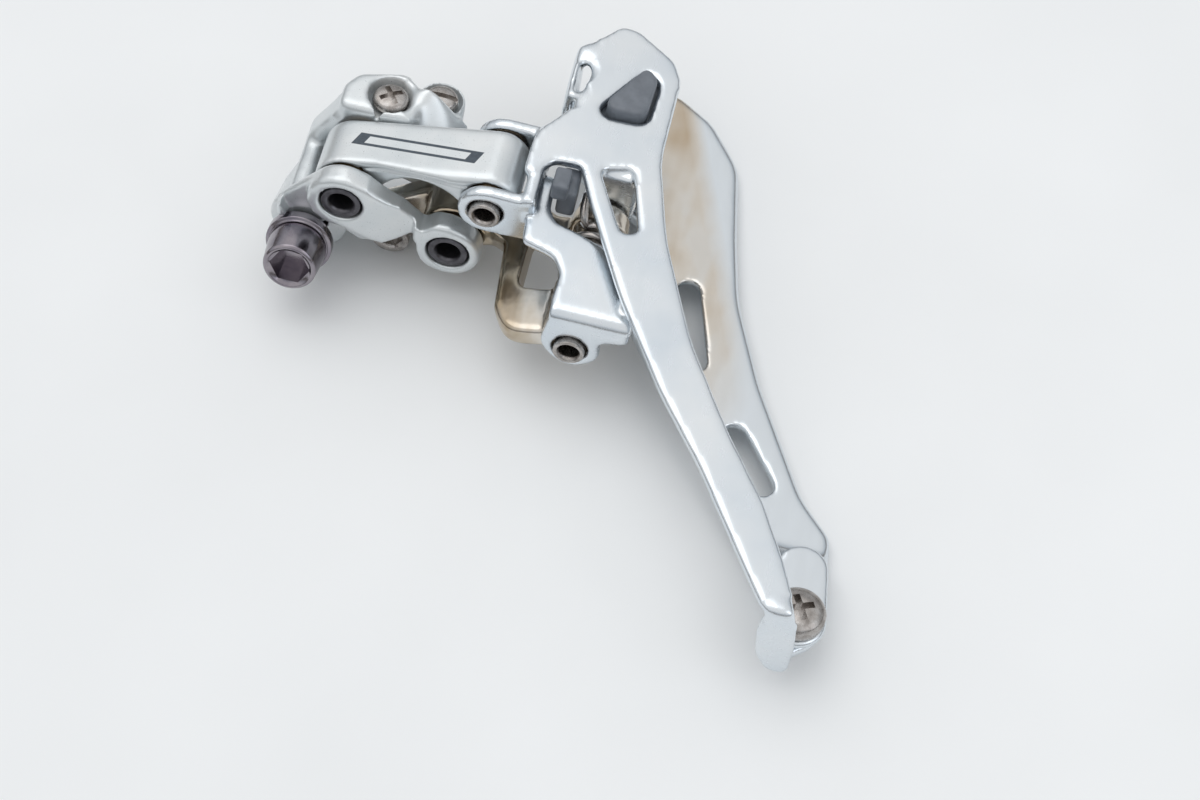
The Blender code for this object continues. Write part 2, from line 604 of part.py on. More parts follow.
# ---------------------------------------------------------------- cage
CAGE_UPPER = (5.202, -19.829)    # upper pivot's (X, Z) in the cage's own drawing, which these outlines share
CAGE_LOWER = (CAGE_UPPER[0] - BODY_PIVOT_INSET, CAGE_UPPER[1] - BODY_PIVOT_DROP)
OUTER_OUTLINE = [                # (Y, Z, corner radius) of the outer plate, nose first, down the lower edge
    (30.6, -26.2, 1.2), (32.8, -29.2, 1.5), (35.9, -31.6, 1.5), (35.6, -34.2, 3.0), (31.4, -40.0, 4.0),
    (28.0, -41.6, 4.0), (12.7, -41.5, 20.0), (-1.1, -44.8, 40.0), (-16.9, -50.9, 40.0), (-29.8, -58.0, 60.0),
    (-39.6, -64.3, 20.0), (-47.4, -68.0, 10.0), (-55.4, -71.2, 1.0), (-55.4, -66.8, 1.0), (-50.6, -63.8, 12.0),
    (-36.2, -55.3, 40.0), (-26.1, -48.3, 40.0), (-12.3, -40.4, 60.0), (2.6, -33.4, 40.0), (8.5, -31.0, 0.8),
    (8.2, -27.4, 1.2), (5.2, -25.4, 0.6), (5.2, -23.6, 1.0), (12.5, -23.7, 6.0), (19.4, -28.2, 3.0),
    (22.6, -27.0, 2.0), (27.0, -26.5, 4.0),
]
PAD_HOLE = [(18.0, -30.4, 1.6), (28.7, -36.6, 1.5), (26.4, -38.8, 1.4), (18.3, -38.4, 1.8)]
VENT_HOLE = [(-1.9, -38.7, 1.0), (8.7, -33.7, 0.9), (10.0, -38.1, 0.8), (-0.8, -40.7, 0.9)]
NOSE_SLOT = [(28.8, -27.3, 0.5), (26.4, -29.1, 1.0), (21.8, -28.4, 0.5), (21.8, -27.3, 0.5)]
TAB_OUTLINE = [                  # (Y, Z, corner radius) of the stepped-down tab
    (-13.6, -31.6, 0.6), (-13.6, -43.2, 0.6), (-5.0, -43.6, 1.0), (-3.4, -41.0, 1.0), (-2.2, -37.0, 3.0),
    (-0.6, -32.5, 3.0), (0.2, -29.6, 1.5), (2.4, -28.4, 1.5), (8.0, -28.2, 0.6), (8.0, -25.4, 0.6),
    (0.4, -25.4, 0.6), (-4.2, -25.8, 0.8), (-5.6, -30.4, 2.0), (-8.2, -31.8, 2.5),
]
INNER_OUTLINE = [                # (Y, Z, corner radius) of the inner plate, nose first, down the lower edge
    (34.0, -29.5, 3.0), (37.0, -41.4, 3.5), (32.9, -47.4, 8.0), (25.6, -52.4, 8.0), (12.3, -54.4, 30.0),
    (1.7, -56.4, 30.0), (-11.9, -61.6, 30.0), (-28.6, -69.9, 15.0), (-33.8, -74.5, 3.0), (-43.0, -74.9, 2.0),
    (-44.0, -68.2, 2.0), (-36.0, -62.8, 20.0), (-22.5, -53.0, 30.0), (-7.0, -42.6, 5.0), (11.5, -41.2, 4.0),
    (16.0, -33.0, 5.0), (19.0, -29.5, 3.0),
]
SLOTS = [((1.3, -49.2), (-10.6, -52.2), 1.6), ((-21.2, -59.4), (-28.2, -64.2), 1.7)]
TAIL_SCREW = (-49.6, -71.5)      # tail screw's (Y, Z)
TONGUE_TOP = 1.2                 # outboard face of the inner plate's tail tongue
JOGGLE_START, JOGGLE_END = -36.5, -42.5     # where the tongue climbs, along Y


def smooth(value, start, end):
    t = max(0.0, min(1.0, (value - start) / (end - start)))
    return t * t * (3 - 2 * t)


def scoreAcross(obj, stations):
    """Cut a flat plate across its length, so that it can be bent there."""
    bm = bmesh.new()
    bm.from_mesh(obj.data)
    for y in stations:
        bmesh.ops.bisect_plane(bm, geom=bm.verts[:] + bm.edges[:] + bm.faces[:], dist=1e-7,
                               plane_co=(y * MM, 0, 0), plane_no=(1, 0, 0))
    bm.to_mesh(obj.data)
    bm.free()


def innerLevel(y):
    """Height of the inner plate's face above its flat middle."""
    return (TONGUE_TOP - INNER_TOP) * smooth(-y, -JOGGLE_START, -JOGGLE_END)


def innerPlate():
    """Pressed plate: a face whose border turns inboard, given its thickness, with a joggled tail tongue."""
    mesh = bpy.data.meshes.new("inner_cage_plate")
    bm = bmesh.new()
    verts = [bm.verts.new((y * MM, z * MM, 0)) for y, z in rounded(INNER_OUTLINE, 4)]
    face = bm.faces.new(verts)
    border = bmesh.ops.extrude_edge_only(bm, edges=bm.edges[:])
    rimVerts = [v for v in border["geom"] if isinstance(v, bmesh.types.BMVert)]
    bmesh.ops.translate(bm, vec=(0, 0, -INNER_RIM * MM), verts=rimVerts)
    bend = [e for e in face.edges]
    bmesh.ops.bevel(bm, geom=bend, offset=RIM_BEND * MM, segments=2, profile=0.5, affect="EDGES", clamp_overlap=True)
    bmesh.ops.recalc_face_normals(bm, faces=bm.faces)
    largest = max(bm.faces, key=lambda f: f.calc_area())
    if largest.normal.z < 0:
        bmesh.ops.reverse_faces(bm, faces=bm.faces)
    bm.to_mesh(mesh)
    bm.free()
    plate = addObject("inner_cage_plate", mesh, FACE, (INNER_TOP, 0, 0))
    scoreAcross(plate, [JOGGLE_START - i for i in range(7)])
    for v in plate.data.vertices:
        v.co.z += innerLevel(v.co.x / MM) * MM
    mod = plate.modifiers.new("sheet", "SOLIDIFY")
    mod.thickness = INNER_THICKNESS * MM
    mod.offset = -1
    mod.use_even_offset = True
    bake(plate)
    tongue = outboard("tongue", [strap((-41.6, -71.2), 3.4, TAIL_SCREW, TONGUE_RADIUS, 12)],
                      TONGUE_TOP - INNER_THICKNESS - 0.02, TONGUE_TOP + 0.02)
    join(plate, bake(bevel(tongue, 0.3, 1, 50)))
    bake(plate)
    holes = [rodX("tail_hole", 1.6 + GAP, -6, 6, TAIL_SCREW)]
    for number, (start, end, radius) in enumerate(SLOTS):
        holes.append(outboard("slot_%d" % number, [strap(start, radius, end, radius, 6)], INNER_TOP - 5, INNER_TOP + 3))
    holes += [rodX("rivet_hole_%d" % i, 1.1 + GAP, -9, 3, at) for i, at in enumerate(NOSE_RIVETS)]
    return makePart(bake(cut(plate, *holes)), "nickel_steel")


def rodX(name, radius, low, high, at, steps=24):
    """A round bar pointing outboard, at (Y, Z)."""
    return turned(name, [(0, high), (radius, high), (radius, low), (0, low)], (0, 90, 0), (0, at[0], at[1]), steps)


NOSE_RIVETS = [(22.6, -33.9), (29.4, -34.1)]


def outerPlate():
    """Outer plate with its pivot lugs, step-down tab, nose fold and tail ear, all one folded sheet."""
    bottom = PLATE_TOP - PLATE_THICKNESS
    plate = outboard("outer_cage_plate", [rounded(OUTER_OUTLINE, 3), rounded(PAD_HOLE, 4), rounded(VENT_HOLE, 4)],
                     bottom, PLATE_TOP)
    bake(bevel(plate, 0.3, 1, 50))
    wallZ = CAGE_UPPER[1] - CAGE_BOSS_RADIUS - GAP - 0.2
    webLow = wallZ - LUG_THICKNESS
    frontLug = FRONT_ARM_Y + LUG_THICKNESS
    pieces = [box("web", (CAGE_UPPER[0] - LUG_RADIUS + 0.2, 0.1, webLow), (PLATE_TOP - 0.35, frontLug - 0.1, wallZ), 0.4)]
    lugShape = [(x, max(z, webLow - 0.2)) for x, z in
                strap(CAGE_UPPER, LUG_RADIUS, (CAGE_UPPER[0] + 0.1, webLow - 0.3), LUG_RADIUS - 0.2, 8)]
    for name, low in (("lug_upper_rear", 0.0), ("lug_upper_front", FRONT_ARM_Y)):
        pieces.append(bake(bevel(acrossPins(name, [lugShape], low, low + LUG_THICKNESS), 0.3, 1, 50)))

    # stepped-down tab, bent over into the lower rear lug
    lugFront = -INNER_LINK_REAR - 0.6
    lugRear = lugFront - LUG_THICKNESS
    tab = outboard("tab", [rounded(TAB_OUTLINE, 3)], TAB_TOP - PLATE_THICKNESS, TAB_TOP)
    pieces.append(bake(bevel(tab, 0.3, 1, 50)))
    fold = flat("tab_fold", [arc((TAB_TOP - LUG_THICKNESS, lugFront), LUG_THICKNESS, 270, 360, 6)
                             + [(TAB_TOP, lugFront + 0.6), (TAB_TOP - PLATE_THICKNESS, lugFront + 0.6),
                                (TAB_TOP - LUG_THICKNESS - 0.4, lugFront)]], 11.2, place=(0, 0, -37.35))
    pieces.append(bake(bevel(fold, 0.2, 1, 50)))
    lowLug = rounded([(TAB_TOP - LUG_THICKNESS - 0.1, -31.8, 0.5), (CAGE_LOWER[0] - 0.6, CAGE_LOWER[1] + LUG_RADIUS + 0.4, 3.6),
                      (CAGE_LOWER[0] - LUG_RADIUS - 0.4, CAGE_LOWER[1] - 0.2, 3.8), (CAGE_LOWER[0] - 1.2, CAGE_LOWER[1] - LUG_RADIUS - 0.4, 3.4),
                      (2.6, -38.9, 1.2), (3.4, -42.8, 0.5), (TAB_TOP - LUG_THICKNESS - 0.1, -42.9, 0.4)], 5)
    pieces.append(bake(bevel(acrossPins("lug_lower_rear", [lowLug], lugRear, lugFront), 0.3, 1, 50)))
    hanging = [(min(x, bottom + 0.5), z) for x, z in strap(CAGE_LOWER, LUG_RADIUS - 0.2, (bottom + 0.5, -36.6), 3.4, 10)]
    pieces.append(bake(bevel(acrossPins("lug_lower_front", [hanging], 8.4, 8.4 + LUG_THICKNESS), 0.3, 1, 50)))
    pieces.append(outboard("tab_weld", [strap((-5.9, -41.9), 1.0, (-12.0, -42.0), 0.9, 6)], TAB_TOP - 0.6, bottom + 0.6))
    pieces.append(outboard("tab_weld_low", [strap((-9.6, -42.3), 0.8, (-12.4, -42.6), 0.5, 6)], TAB_TOP - 0.6, bottom + 0.6))

    # nose fold, riveted to the inner plate
    foot = INNER_TOP + GAP
    pieces.append(box("nose_fold", (foot + 0.1, 20.6, -27.6), (PLATE_TOP - 0.4, 31.0, -26.2), 0.5))
    pieces.append(box("nose_foot", (foot, 20.3, -36.4), (foot + PLATE_THICKNESS, 31.6, -26.3), 0.5))

    # tail ear, folded inboard and turned in under the inner plate's tongue
    footTop = TONGUE_TOP - INNER_THICKNESS - GAP
    earLoop = rounded([(PLATE_TOP - 0.8, -66.9, 0.8), (PLATE_TOP - 0.8, -71.1, 0.8), (1.5, -71.9, 6.0), (-3.7, -71.9, 1.6),
                       (-3.3, -69.0, 2.0), (-0.6, -67.3, 3.0), (4.0, -66.6, 6.0)], 4)
    ear = acrossPins("tail_ear", [earLoop], -55.4, -55.4 + PLATE_THICKNESS)
    tailFoot = outboard("tail_foot", [strap((-53.5, -69.9), 1.6, TAIL_SCREW, 3.6, 8)], footTop - 1.6, footTop)
    pieces += [bake(bevel(ear, 0.35, 1, 50)), bake(bevel(tailFoot, 0.3, 1, 50))]
    join(plate, *pieces)
    bake(plate)
    cut(plate, outboard("nose_slot", [rounded(NOSE_SLOT, 3)], bottom - 0.6, PLATE_TOP + 1),
        rod("lug_bore_upper", CAGE_BORE, -1, FRONT_ARM_Y + 4, CAGE_UPPER),
        rod("lug_bore_lower_rear", CAGE_BORE, lugRear - 1, lugFront + 1, CAGE_LOWER),
        rod("lug_bore_lower_front", CAGE_BORE, 7, 12, CAGE_LOWER),
        rodX("tail_thread", 1.6 + GAP, -4, 0.6, TAIL_SCREW),
        *[rodX("nose_hole_%d" % i, 1.1 + GAP, -3, 1, at) for i, at in enumerate(NOSE_RIVETS)])
    return makePart(bake(plate), "sheet_aluminium")


def noseRivets():
    top = INNER_TOP + GAP + PLATE_THICKNESS + GAP
    low = INNER_TOP - INNER_THICKNESS - GAP
    for name, (y, z) in zip(("nose_rivet_rear", "nose_rivet_front"), NOSE_RIVETS):
        rivet = turned(name, [(0, top + 0.9), (1.1, top + 0.75), (1.9, top + 0.1), (1.9, top), (1.1, top),
                              (1.1, low), (1.9, low), (1.9, low - 0.3), (1.0, low - 0.8), (0, low - 0.9)],
                       (0, 90, 0), (0, y, z), 20)
        makePart(rivet, "steel")


def tailScrew():
    footTop = TONGUE_TOP - INNER_THICKNESS - GAP
    low, top = TONGUE_TOP + GAP, TONGUE_TOP + GAP + 2.6
    r = TAIL_SCREW_RADIUS
    screw = turned("tail_screw", [(0, top), (r * 0.5, top - 0.1), (r * 0.85, top - 0.6), (r, top - 1.4), (r, low),
                                  (1.6, low), (1.6, footTop - 2.4), (1.3, footTop - 2.8), (0, footTop - 2.8)],
                   (0, 90, 0), (0, TAIL_SCREW[0], TAIL_SCREW[1]), 32)
    place = (0, TAIL_SCREW[0], TAIL_SCREW[1])
    for number, turn in enumerate((25, 115)):
        wing = box("cross_%d" % number, (-1.9, -0.45, 0), (1.9, 0.45, 1.6))
        wing.location = Vector(place) * MM
        wing.data.transform(Matrix.Translation((0, 0, (top + 0.2) * MM)))
        wing.rotation_euler = (Euler((0, math.radians(90), 0)).to_matrix()
                               @ Matrix.Rotation(math.radians(turn), 3, "Z")).to_euler()
        cut(screw, wing)
    return makePart(bake(screw), "steel")


def guidePad():
    """Plastic pad under the nose, whose raised boss fills the plate's upper hole."""
    bottom = PLATE_TOP - PLATE_THICKNESS
    pad = outboard("guide_pad", [rounded([(13.5, -33.2, 2.0), (15.0, -30.6, 2.0), (29.5, -31.0, 2.5), (32.0, -36.0, 3.0),
                                          (28.5, -40.2, 3.0), (13.8, -40.9, 2.5)], 4)], bottom - GAP - 3.0, bottom - GAP)
    bake(bevel(pad, 0.6, 2, 50))
    inset = [(y + (22.5 - y) * 0.085, z + (-36.0 - z) * 0.14, radius) for y, z, radius in PAD_HOLE]
    boss = outboard("pad_boss", [rounded(inset, 4)], bottom - GAP - 1.0, PLATE_TOP + 1.3)
    bake(bevel(boss, 0.5, 2, 50))
    return makePart(bake(join(pad, boss)), "plastic")


def bumperBlock():
    block = box("bumper_block", (3.6, 4.2, -31.4), (PLATE_TOP - PLATE_THICKNESS - GAP, 9.2, -28.8), 0.5)
    cap = box("bumper_cap", (TAB_TOP + GAP, 3.4, -30.2), (PLATE_TOP + 0.2, 7.2, -27.9), 0.4)
    return makePart(bake(join(block, cap)), "plastic")


def returnSpring():
    """Torsion spring wound round the lower inner pin, one unbroken wire with two straight legs."""
    perTurn = 20
    half = SPRING_TURNS * SPRING_PITCH / 2
    count = int(SPRING_TURNS * perTurn)
    coil = []
    for i in range(count + 1):
        angle = 2 * math.pi * i / perTurn + math.radians(20)
        coil.append((SPRING_RADIUS * math.cos(angle), SPRING_RADIUS * math.sin(angle), -half + SPRING_PITCH * i / perTurn))
    least = min(math.dist(coil[i], coil[j]) for i in range(len(coil)) for j in range(i + perTurn // 2, len(coil)))
    print("return spring: least gap between turns %.2f mm" % (least - SPRING_WIRE))
    first, last = coil[0], coil[-1]
    turn = math.radians(20)
    legIn = [(first[0] + math.sin(turn) * s, first[1] - math.cos(turn) * s, first[2]) for s in (2.6, 1.3)]
    legOut = [(last[0] - math.sin(turn) * s, last[1] + math.cos(turn) * s, last[2]) for s in (0.6,)]
    legOut += [(4.2, 2.3, last[2] + 0.1), (5.0, 2.6, last[2] + 1.2), (5.1, 2.65, last[2] + 3.6)]
    path = legIn + coil + legOut
    curve = bpy.data.curves.new("return_spring", "CURVE")
    curve.dimensions = "3D"
    curve.bevel_depth = SPRING_WIRE / 2 * MM
    curve.bevel_resolution = 1
    curve.use_fill_caps = True
    spline = curve.splines.new("POLY")
    spline.points.add(len(path) - 1)
    for point, (x, z, along) in zip(spline.points, path):
        point.co = ((P4[0] + x) * MM, (along + 0.2) * MM, (P4[1] + z) * MM, 1)
    wire = addObject("return_spring_wire", curve)
    mesh = evaluated(wire)
    bpy.data.objects.remove(wire, do_unlink=True)
    bm = bmesh.new()
    bm.from_mesh(mesh)
    bmesh.ops.remove_doubles(bm, verts=bm.verts, dist=0.00001)
    bm.to_mesh(mesh)
    bm.free()
    return makePart(addObject("return_spring", mesh), "steel", 60)


# ---------------------------------------------------------------- the whole derailleur
PIVOT_OF = {"outer_link": P1, "inner_link": P2, "outer_cage_plate": P3, "inner_cage_plate": P3}
PIVOT_OF.update({name: P1 for name in ("bush_body_outer", "bush_cage_outer")})
PIVOT_OF.update({name: P2 for name in ("bush_body_inner", "bush_cage_inner", "cable_anchor_bolt", "cable_pinch_washer")})
PIVOT_OF.update({name: P3 for name in ("pivot_pin_cage_outer", "pivot_pin_cage_inner", "return_spring", "tail_screw",
                                       "nose_rivet_rear", "nose_rivet_front", "guide_pad", "bumper_block")})
DRAWN_WITH_CAGE = ("outer_cage_plate", "inner_cage_plate", "nose_rivet_rear", "nose_rivet_front", "tail_screw",
                   "guide_pad", "bumper_block")


def build():
    bodyCasting()
    mountingBolt()
    mountingWasher()
    for name, place in LIMIT_PLACES.items():
        slottedScrew(name, place, LIMIT_HEAD_RADIUS, LIMIT_HEAD_HEIGHT, LIMIT_SHANK_RADIUS, 5.0)
    outerLink()
    link, armEnd = innerLink()
    pinsAndBushes()
    cableAnchor(armEnd)
    outerPlate()
    innerPlate()
    noseRivets()
    tailScrew()
    guidePad()
    bumperBlock()
    returnSpring()
    for name in DRAWN_WITH_CAGE:
        PARTS.objects[name].location += Vector((P3[0] - CAGE_UPPER[0], 0, P3[1] - CAGE_UPPER[1])) * MM
    for name, (x, z) in PIVOT_OF.items():
        setOrigin(PARTS.objects[name], (x, 0, z))
    layDown()


def setOrigin(obj, point):
    """Put a moving piece's origin on its joint's axis."""
    target = Vector(point) * MM
    obj.data.transform(Matrix.Translation(target).inverted() @ obj.matrix_basis)
    obj.rotation_euler = (0, 0, 0)
    obj.location = target


def layDown():
    """Turn the whole to its pose at rest, on Z = 0 and centred over the origin."""
    LYING.rotation_euler = Euler([math.radians(a) for a in REST_TURN])
    bpy.context.view_layer.update()
    corners = [obj.matrix_world @ v.co for obj in PARTS.objects if obj.type == "MESH" for v in obj.data.vertices]
    low = [min(c[i] for c in corners) for i in range(3)]
    high = [max(c[i] for c in corners) for i in range(3)]
    LYING.location -= Vector(((low[0] + high[0]) / 2, (low[1] + high[1]) / 2, low[2]))
    bpy.context.view_layer.update()
    place = LYING.matrix_world
    along = place.to_3x3() @ Vector((0, -1, 0))
    print("outward swing axis", [round(v, 6) for v in along])
    for name, (x, z) in (("P1", P1), ("P2", P2), ("P3", P3), ("P4", P4)):
        print("pivot", name, [round(v, 6) for v in place @ (Vector((x, 0, z)) * MM)])
    print("size", [round(b - a, 5) for a, b in zip(low, high)])


build()
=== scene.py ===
import json
import math

import bmesh
import bpy
from mathutils import Euler, Matrix, Vector

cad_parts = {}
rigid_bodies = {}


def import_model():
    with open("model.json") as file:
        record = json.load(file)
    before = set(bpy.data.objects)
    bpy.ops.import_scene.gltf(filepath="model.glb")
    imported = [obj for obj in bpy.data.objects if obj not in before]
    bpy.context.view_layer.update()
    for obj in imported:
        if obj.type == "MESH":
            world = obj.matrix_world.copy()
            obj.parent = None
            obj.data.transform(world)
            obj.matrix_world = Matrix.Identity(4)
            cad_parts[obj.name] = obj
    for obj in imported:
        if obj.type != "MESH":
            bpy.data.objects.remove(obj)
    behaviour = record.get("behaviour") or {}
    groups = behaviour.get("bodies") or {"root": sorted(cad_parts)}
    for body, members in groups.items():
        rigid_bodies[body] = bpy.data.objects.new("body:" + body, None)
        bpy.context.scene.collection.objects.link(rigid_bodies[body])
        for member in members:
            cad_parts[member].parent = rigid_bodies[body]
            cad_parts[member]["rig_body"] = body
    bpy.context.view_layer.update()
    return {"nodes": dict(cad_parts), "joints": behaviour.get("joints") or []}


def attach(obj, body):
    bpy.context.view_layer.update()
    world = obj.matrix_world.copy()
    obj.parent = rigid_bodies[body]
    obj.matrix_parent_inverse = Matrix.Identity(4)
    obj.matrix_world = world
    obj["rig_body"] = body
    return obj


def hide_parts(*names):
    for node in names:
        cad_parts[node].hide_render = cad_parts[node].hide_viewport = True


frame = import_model()
nodes = frame["nodes"]
mm = 0.001
weld = 0.001 * mm                                         # points of a merged shape closer than this are one

# The drawing has X outboard, Y forward along the pivot pins and Z up, in mm from the upper outer pivot.
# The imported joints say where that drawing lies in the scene.
linkage = {"linkLength": 20.5, "linkAngle": -75.3, "bodyPivotDrop": 15.5, "bodyPivotInset": 5.0}
linkTurn = math.radians(linkage["linkAngle"])


def drawingPlace():
    joints = {joint["name"]: joint for joint in frame["joints"]}
    upper = Vector(joints["outer_link_pivot"]["pos_m"])
    lower = Vector(joints["cage_pivot"]["pos_m"])
    forward = -Vector(joints["outer_link_pivot"]["axis"]).normalized()
    along = lower - upper
    along = (along - forward * along.dot(forward)).normalized()
    outboard = Matrix.Rotation(linkTurn, 3, forward) @ along
    columns = Matrix((outboard, forward, outboard.cross(forward))).transposed().to_4x4()
    return Matrix.Translation(upper) @ columns


drawing = drawingPlace()
upperOuter = (0.0, 0.0)                                   # the four pivots as (X, Z)
upperInner = (-linkage["bodyPivotInset"], -linkage["bodyPivotDrop"])
lowerOuter = (linkage["linkLength"] * math.cos(linkTurn), linkage["linkLength"] * math.sin(linkTurn))
lowerInner = (upperInner[0] + lowerOuter[0], upperInner[1] + lowerOuter[1])
print("drawing laid on the packed joints")


def drawn(point):
    # where a point of the drawing lies in the scene
    return drawing @ (Vector(point) * mm)


def linearColour(hexText):
    parts = [int(hexText[i:i + 2], 16) / 255 for i in (0, 2, 4)]
    return [p / 12.92 if p <= 0.04045 else ((p + 0.055) / 1.055) ** 2.4 for p in parts] + [1.0]


def addNode(tree, kind, settings=None, links=None):
    # settings fill a ramp's stops, the node's own properties or its sockets; links join sockets to outputs
    node = tree.nodes.new(kind)
    for key, value in (settings or {}).items():
        if key == "stops":
            elements = node.color_ramp.elements
            while len(elements) < len(value):
                elements.new(0.5)
            for element, (position, hexText) in zip(elements, value):
                element.position = position
                element.color = linearColour(hexText)
        elif isinstance(key, str) and hasattr(node, key):
            setattr(node, key, value)
        else:
            node.inputs[key].default_value = value
    for key, output in (links or {}).items():
        tree.links.new(output, node.inputs[key])
    return node


def grain(tree, place, size, detail=3.0, stretch=None):
    # noise whose features are about size mm across, drawn out along the drawing's axes as rolling does
    if stretch:
        turn = drawing.to_3x3().transposed().to_euler()
        turned = addNode(tree, "ShaderNodeMapping", {"Rotation": turn}, {"Vector": place})
        drawnOut = addNode(tree, "ShaderNodeMapping", {"Scale": stretch}, {"Vector": turned.outputs["Vector"]})
        place = drawnOut.outputs["Vector"]
    settings = {"Scale": 1 / (size * mm), "Detail": detail, "Roughness": 0.55}
    return addNode(tree, "ShaderNodeTexNoise", settings, {"Vector": place}).outputs["Fac"]


def alongDrawing(tree, place, direction, start):
    # distance in metres along a direction of the drawing, from a point of it
    way = drawing.to_3x3() @ Vector(direction)
    away = addNode(tree, "ShaderNodeVectorMath", {"operation": "SUBTRACT", 1: drawn(start)}, {0: place})
    dot = addNode(tree, "ShaderNodeVectorMath", {"operation": "DOT_PRODUCT", 1: way}, {0: away.outputs[0]})
    return dot.outputs["Value"]


def within(tree, distance, low, high, soft):
    # 1 between two distances in mm, falling to 0 over a soft edge on both sides
    sides = [addNode(tree, "ShaderNodeMapRange", {"From Min": zero * mm, "From Max": one * mm}, {"Value": distance})
             for zero, one in ((low - soft, low + soft), (high + soft, high - soft))]
    return allOf(tree, [side.outputs["Result"] for side in sides])


def allOf(tree, masks):
    # the product of several masks
    whole = masks[0]
    for mask in masks[1:]:
        whole = addNode(tree, "ShaderNodeMath", {"operation": "MULTIPLY"}, {0: whole, 1: mask}).outputs[0]
    return whole


scuffs = {"cell": 3.5, "line": 0.012, "patch": 8.0, "from": 0.5, "to": 0.62}


def scuffed(tree, place):
    # sparse fine scratches, as lines along the edges of cells, left out in patches
    cells = addNode(tree, "ShaderNodeTexVoronoi", {"feature": "DISTANCE_TO_EDGE", "Scale": 1 / (scuffs["cell"] * mm)},
                    {"Vector": place})
    line = addNode(tree, "ShaderNodeMapRange", {"From Max": scuffs["line"]}, {"Value": cells.outputs["Distance"]})
    patches = addNode(tree, "ShaderNodeMapRange", {"From Min": scuffs["from"], "From Max": scuffs["to"]},
                      {"Value": grain(tree, place, scuffs["patch"])})
    return addNode(tree, "ShaderNodeMath", {"operation": "MAXIMUM"},
                   {0: line.outputs["Result"], 1: patches.outputs["Result"]}).outputs[0]


# the painted reflection on the middle of the inner plate's face, a brown tint standing in for the room it mirrors:
# direction and start in the drawing, then first, last and soft edge in mm
paintedReflectionSpan = {
    "face": ((1, 0, 0), (-2.0, 0, 0), (-0.3, 0.3, 0.25)),
    "noseward": ((0, 0.42, 1), (0, 0, -58), (0.0, 90.0, 10.0)),
    "insideRim": ((0, -0.307, 0.952), (0, 25.6, -52.4), (5.4, 15.0, 1.4))}
# the painted reflection breaks into stretched clouds: size in mm, stretch, grain span, and its least and most
# strength
paintedReflectionClouds = {"size": 7.0, "stretch": (1.0, 0.3, 0.6), "from": 0.4, "to": 0.6, "least": 0.35, "most": 0.95}


def paintedReflectionMask(tree, place):
    # 1 where the painted brown reflection on the plate's face is strongest
    masks = [within(tree, alongDrawing(tree, place, way, start), *reach) for way, start, reach in paintedReflectionSpan.values()]
    clouds = addNode(tree, "ShaderNodeMapRange",
                     {"From Min": paintedReflectionClouds["from"], "From Max": paintedReflectionClouds["to"],
                      "To Min": paintedReflectionClouds["least"], "To Max": paintedReflectionClouds["most"]},
                     {"Value": grain(tree, place, paintedReflectionClouds["size"], stretch=paintedReflectionClouds["stretch"])})
    return allOf(tree, masks + [clouds.outputs["Result"]])


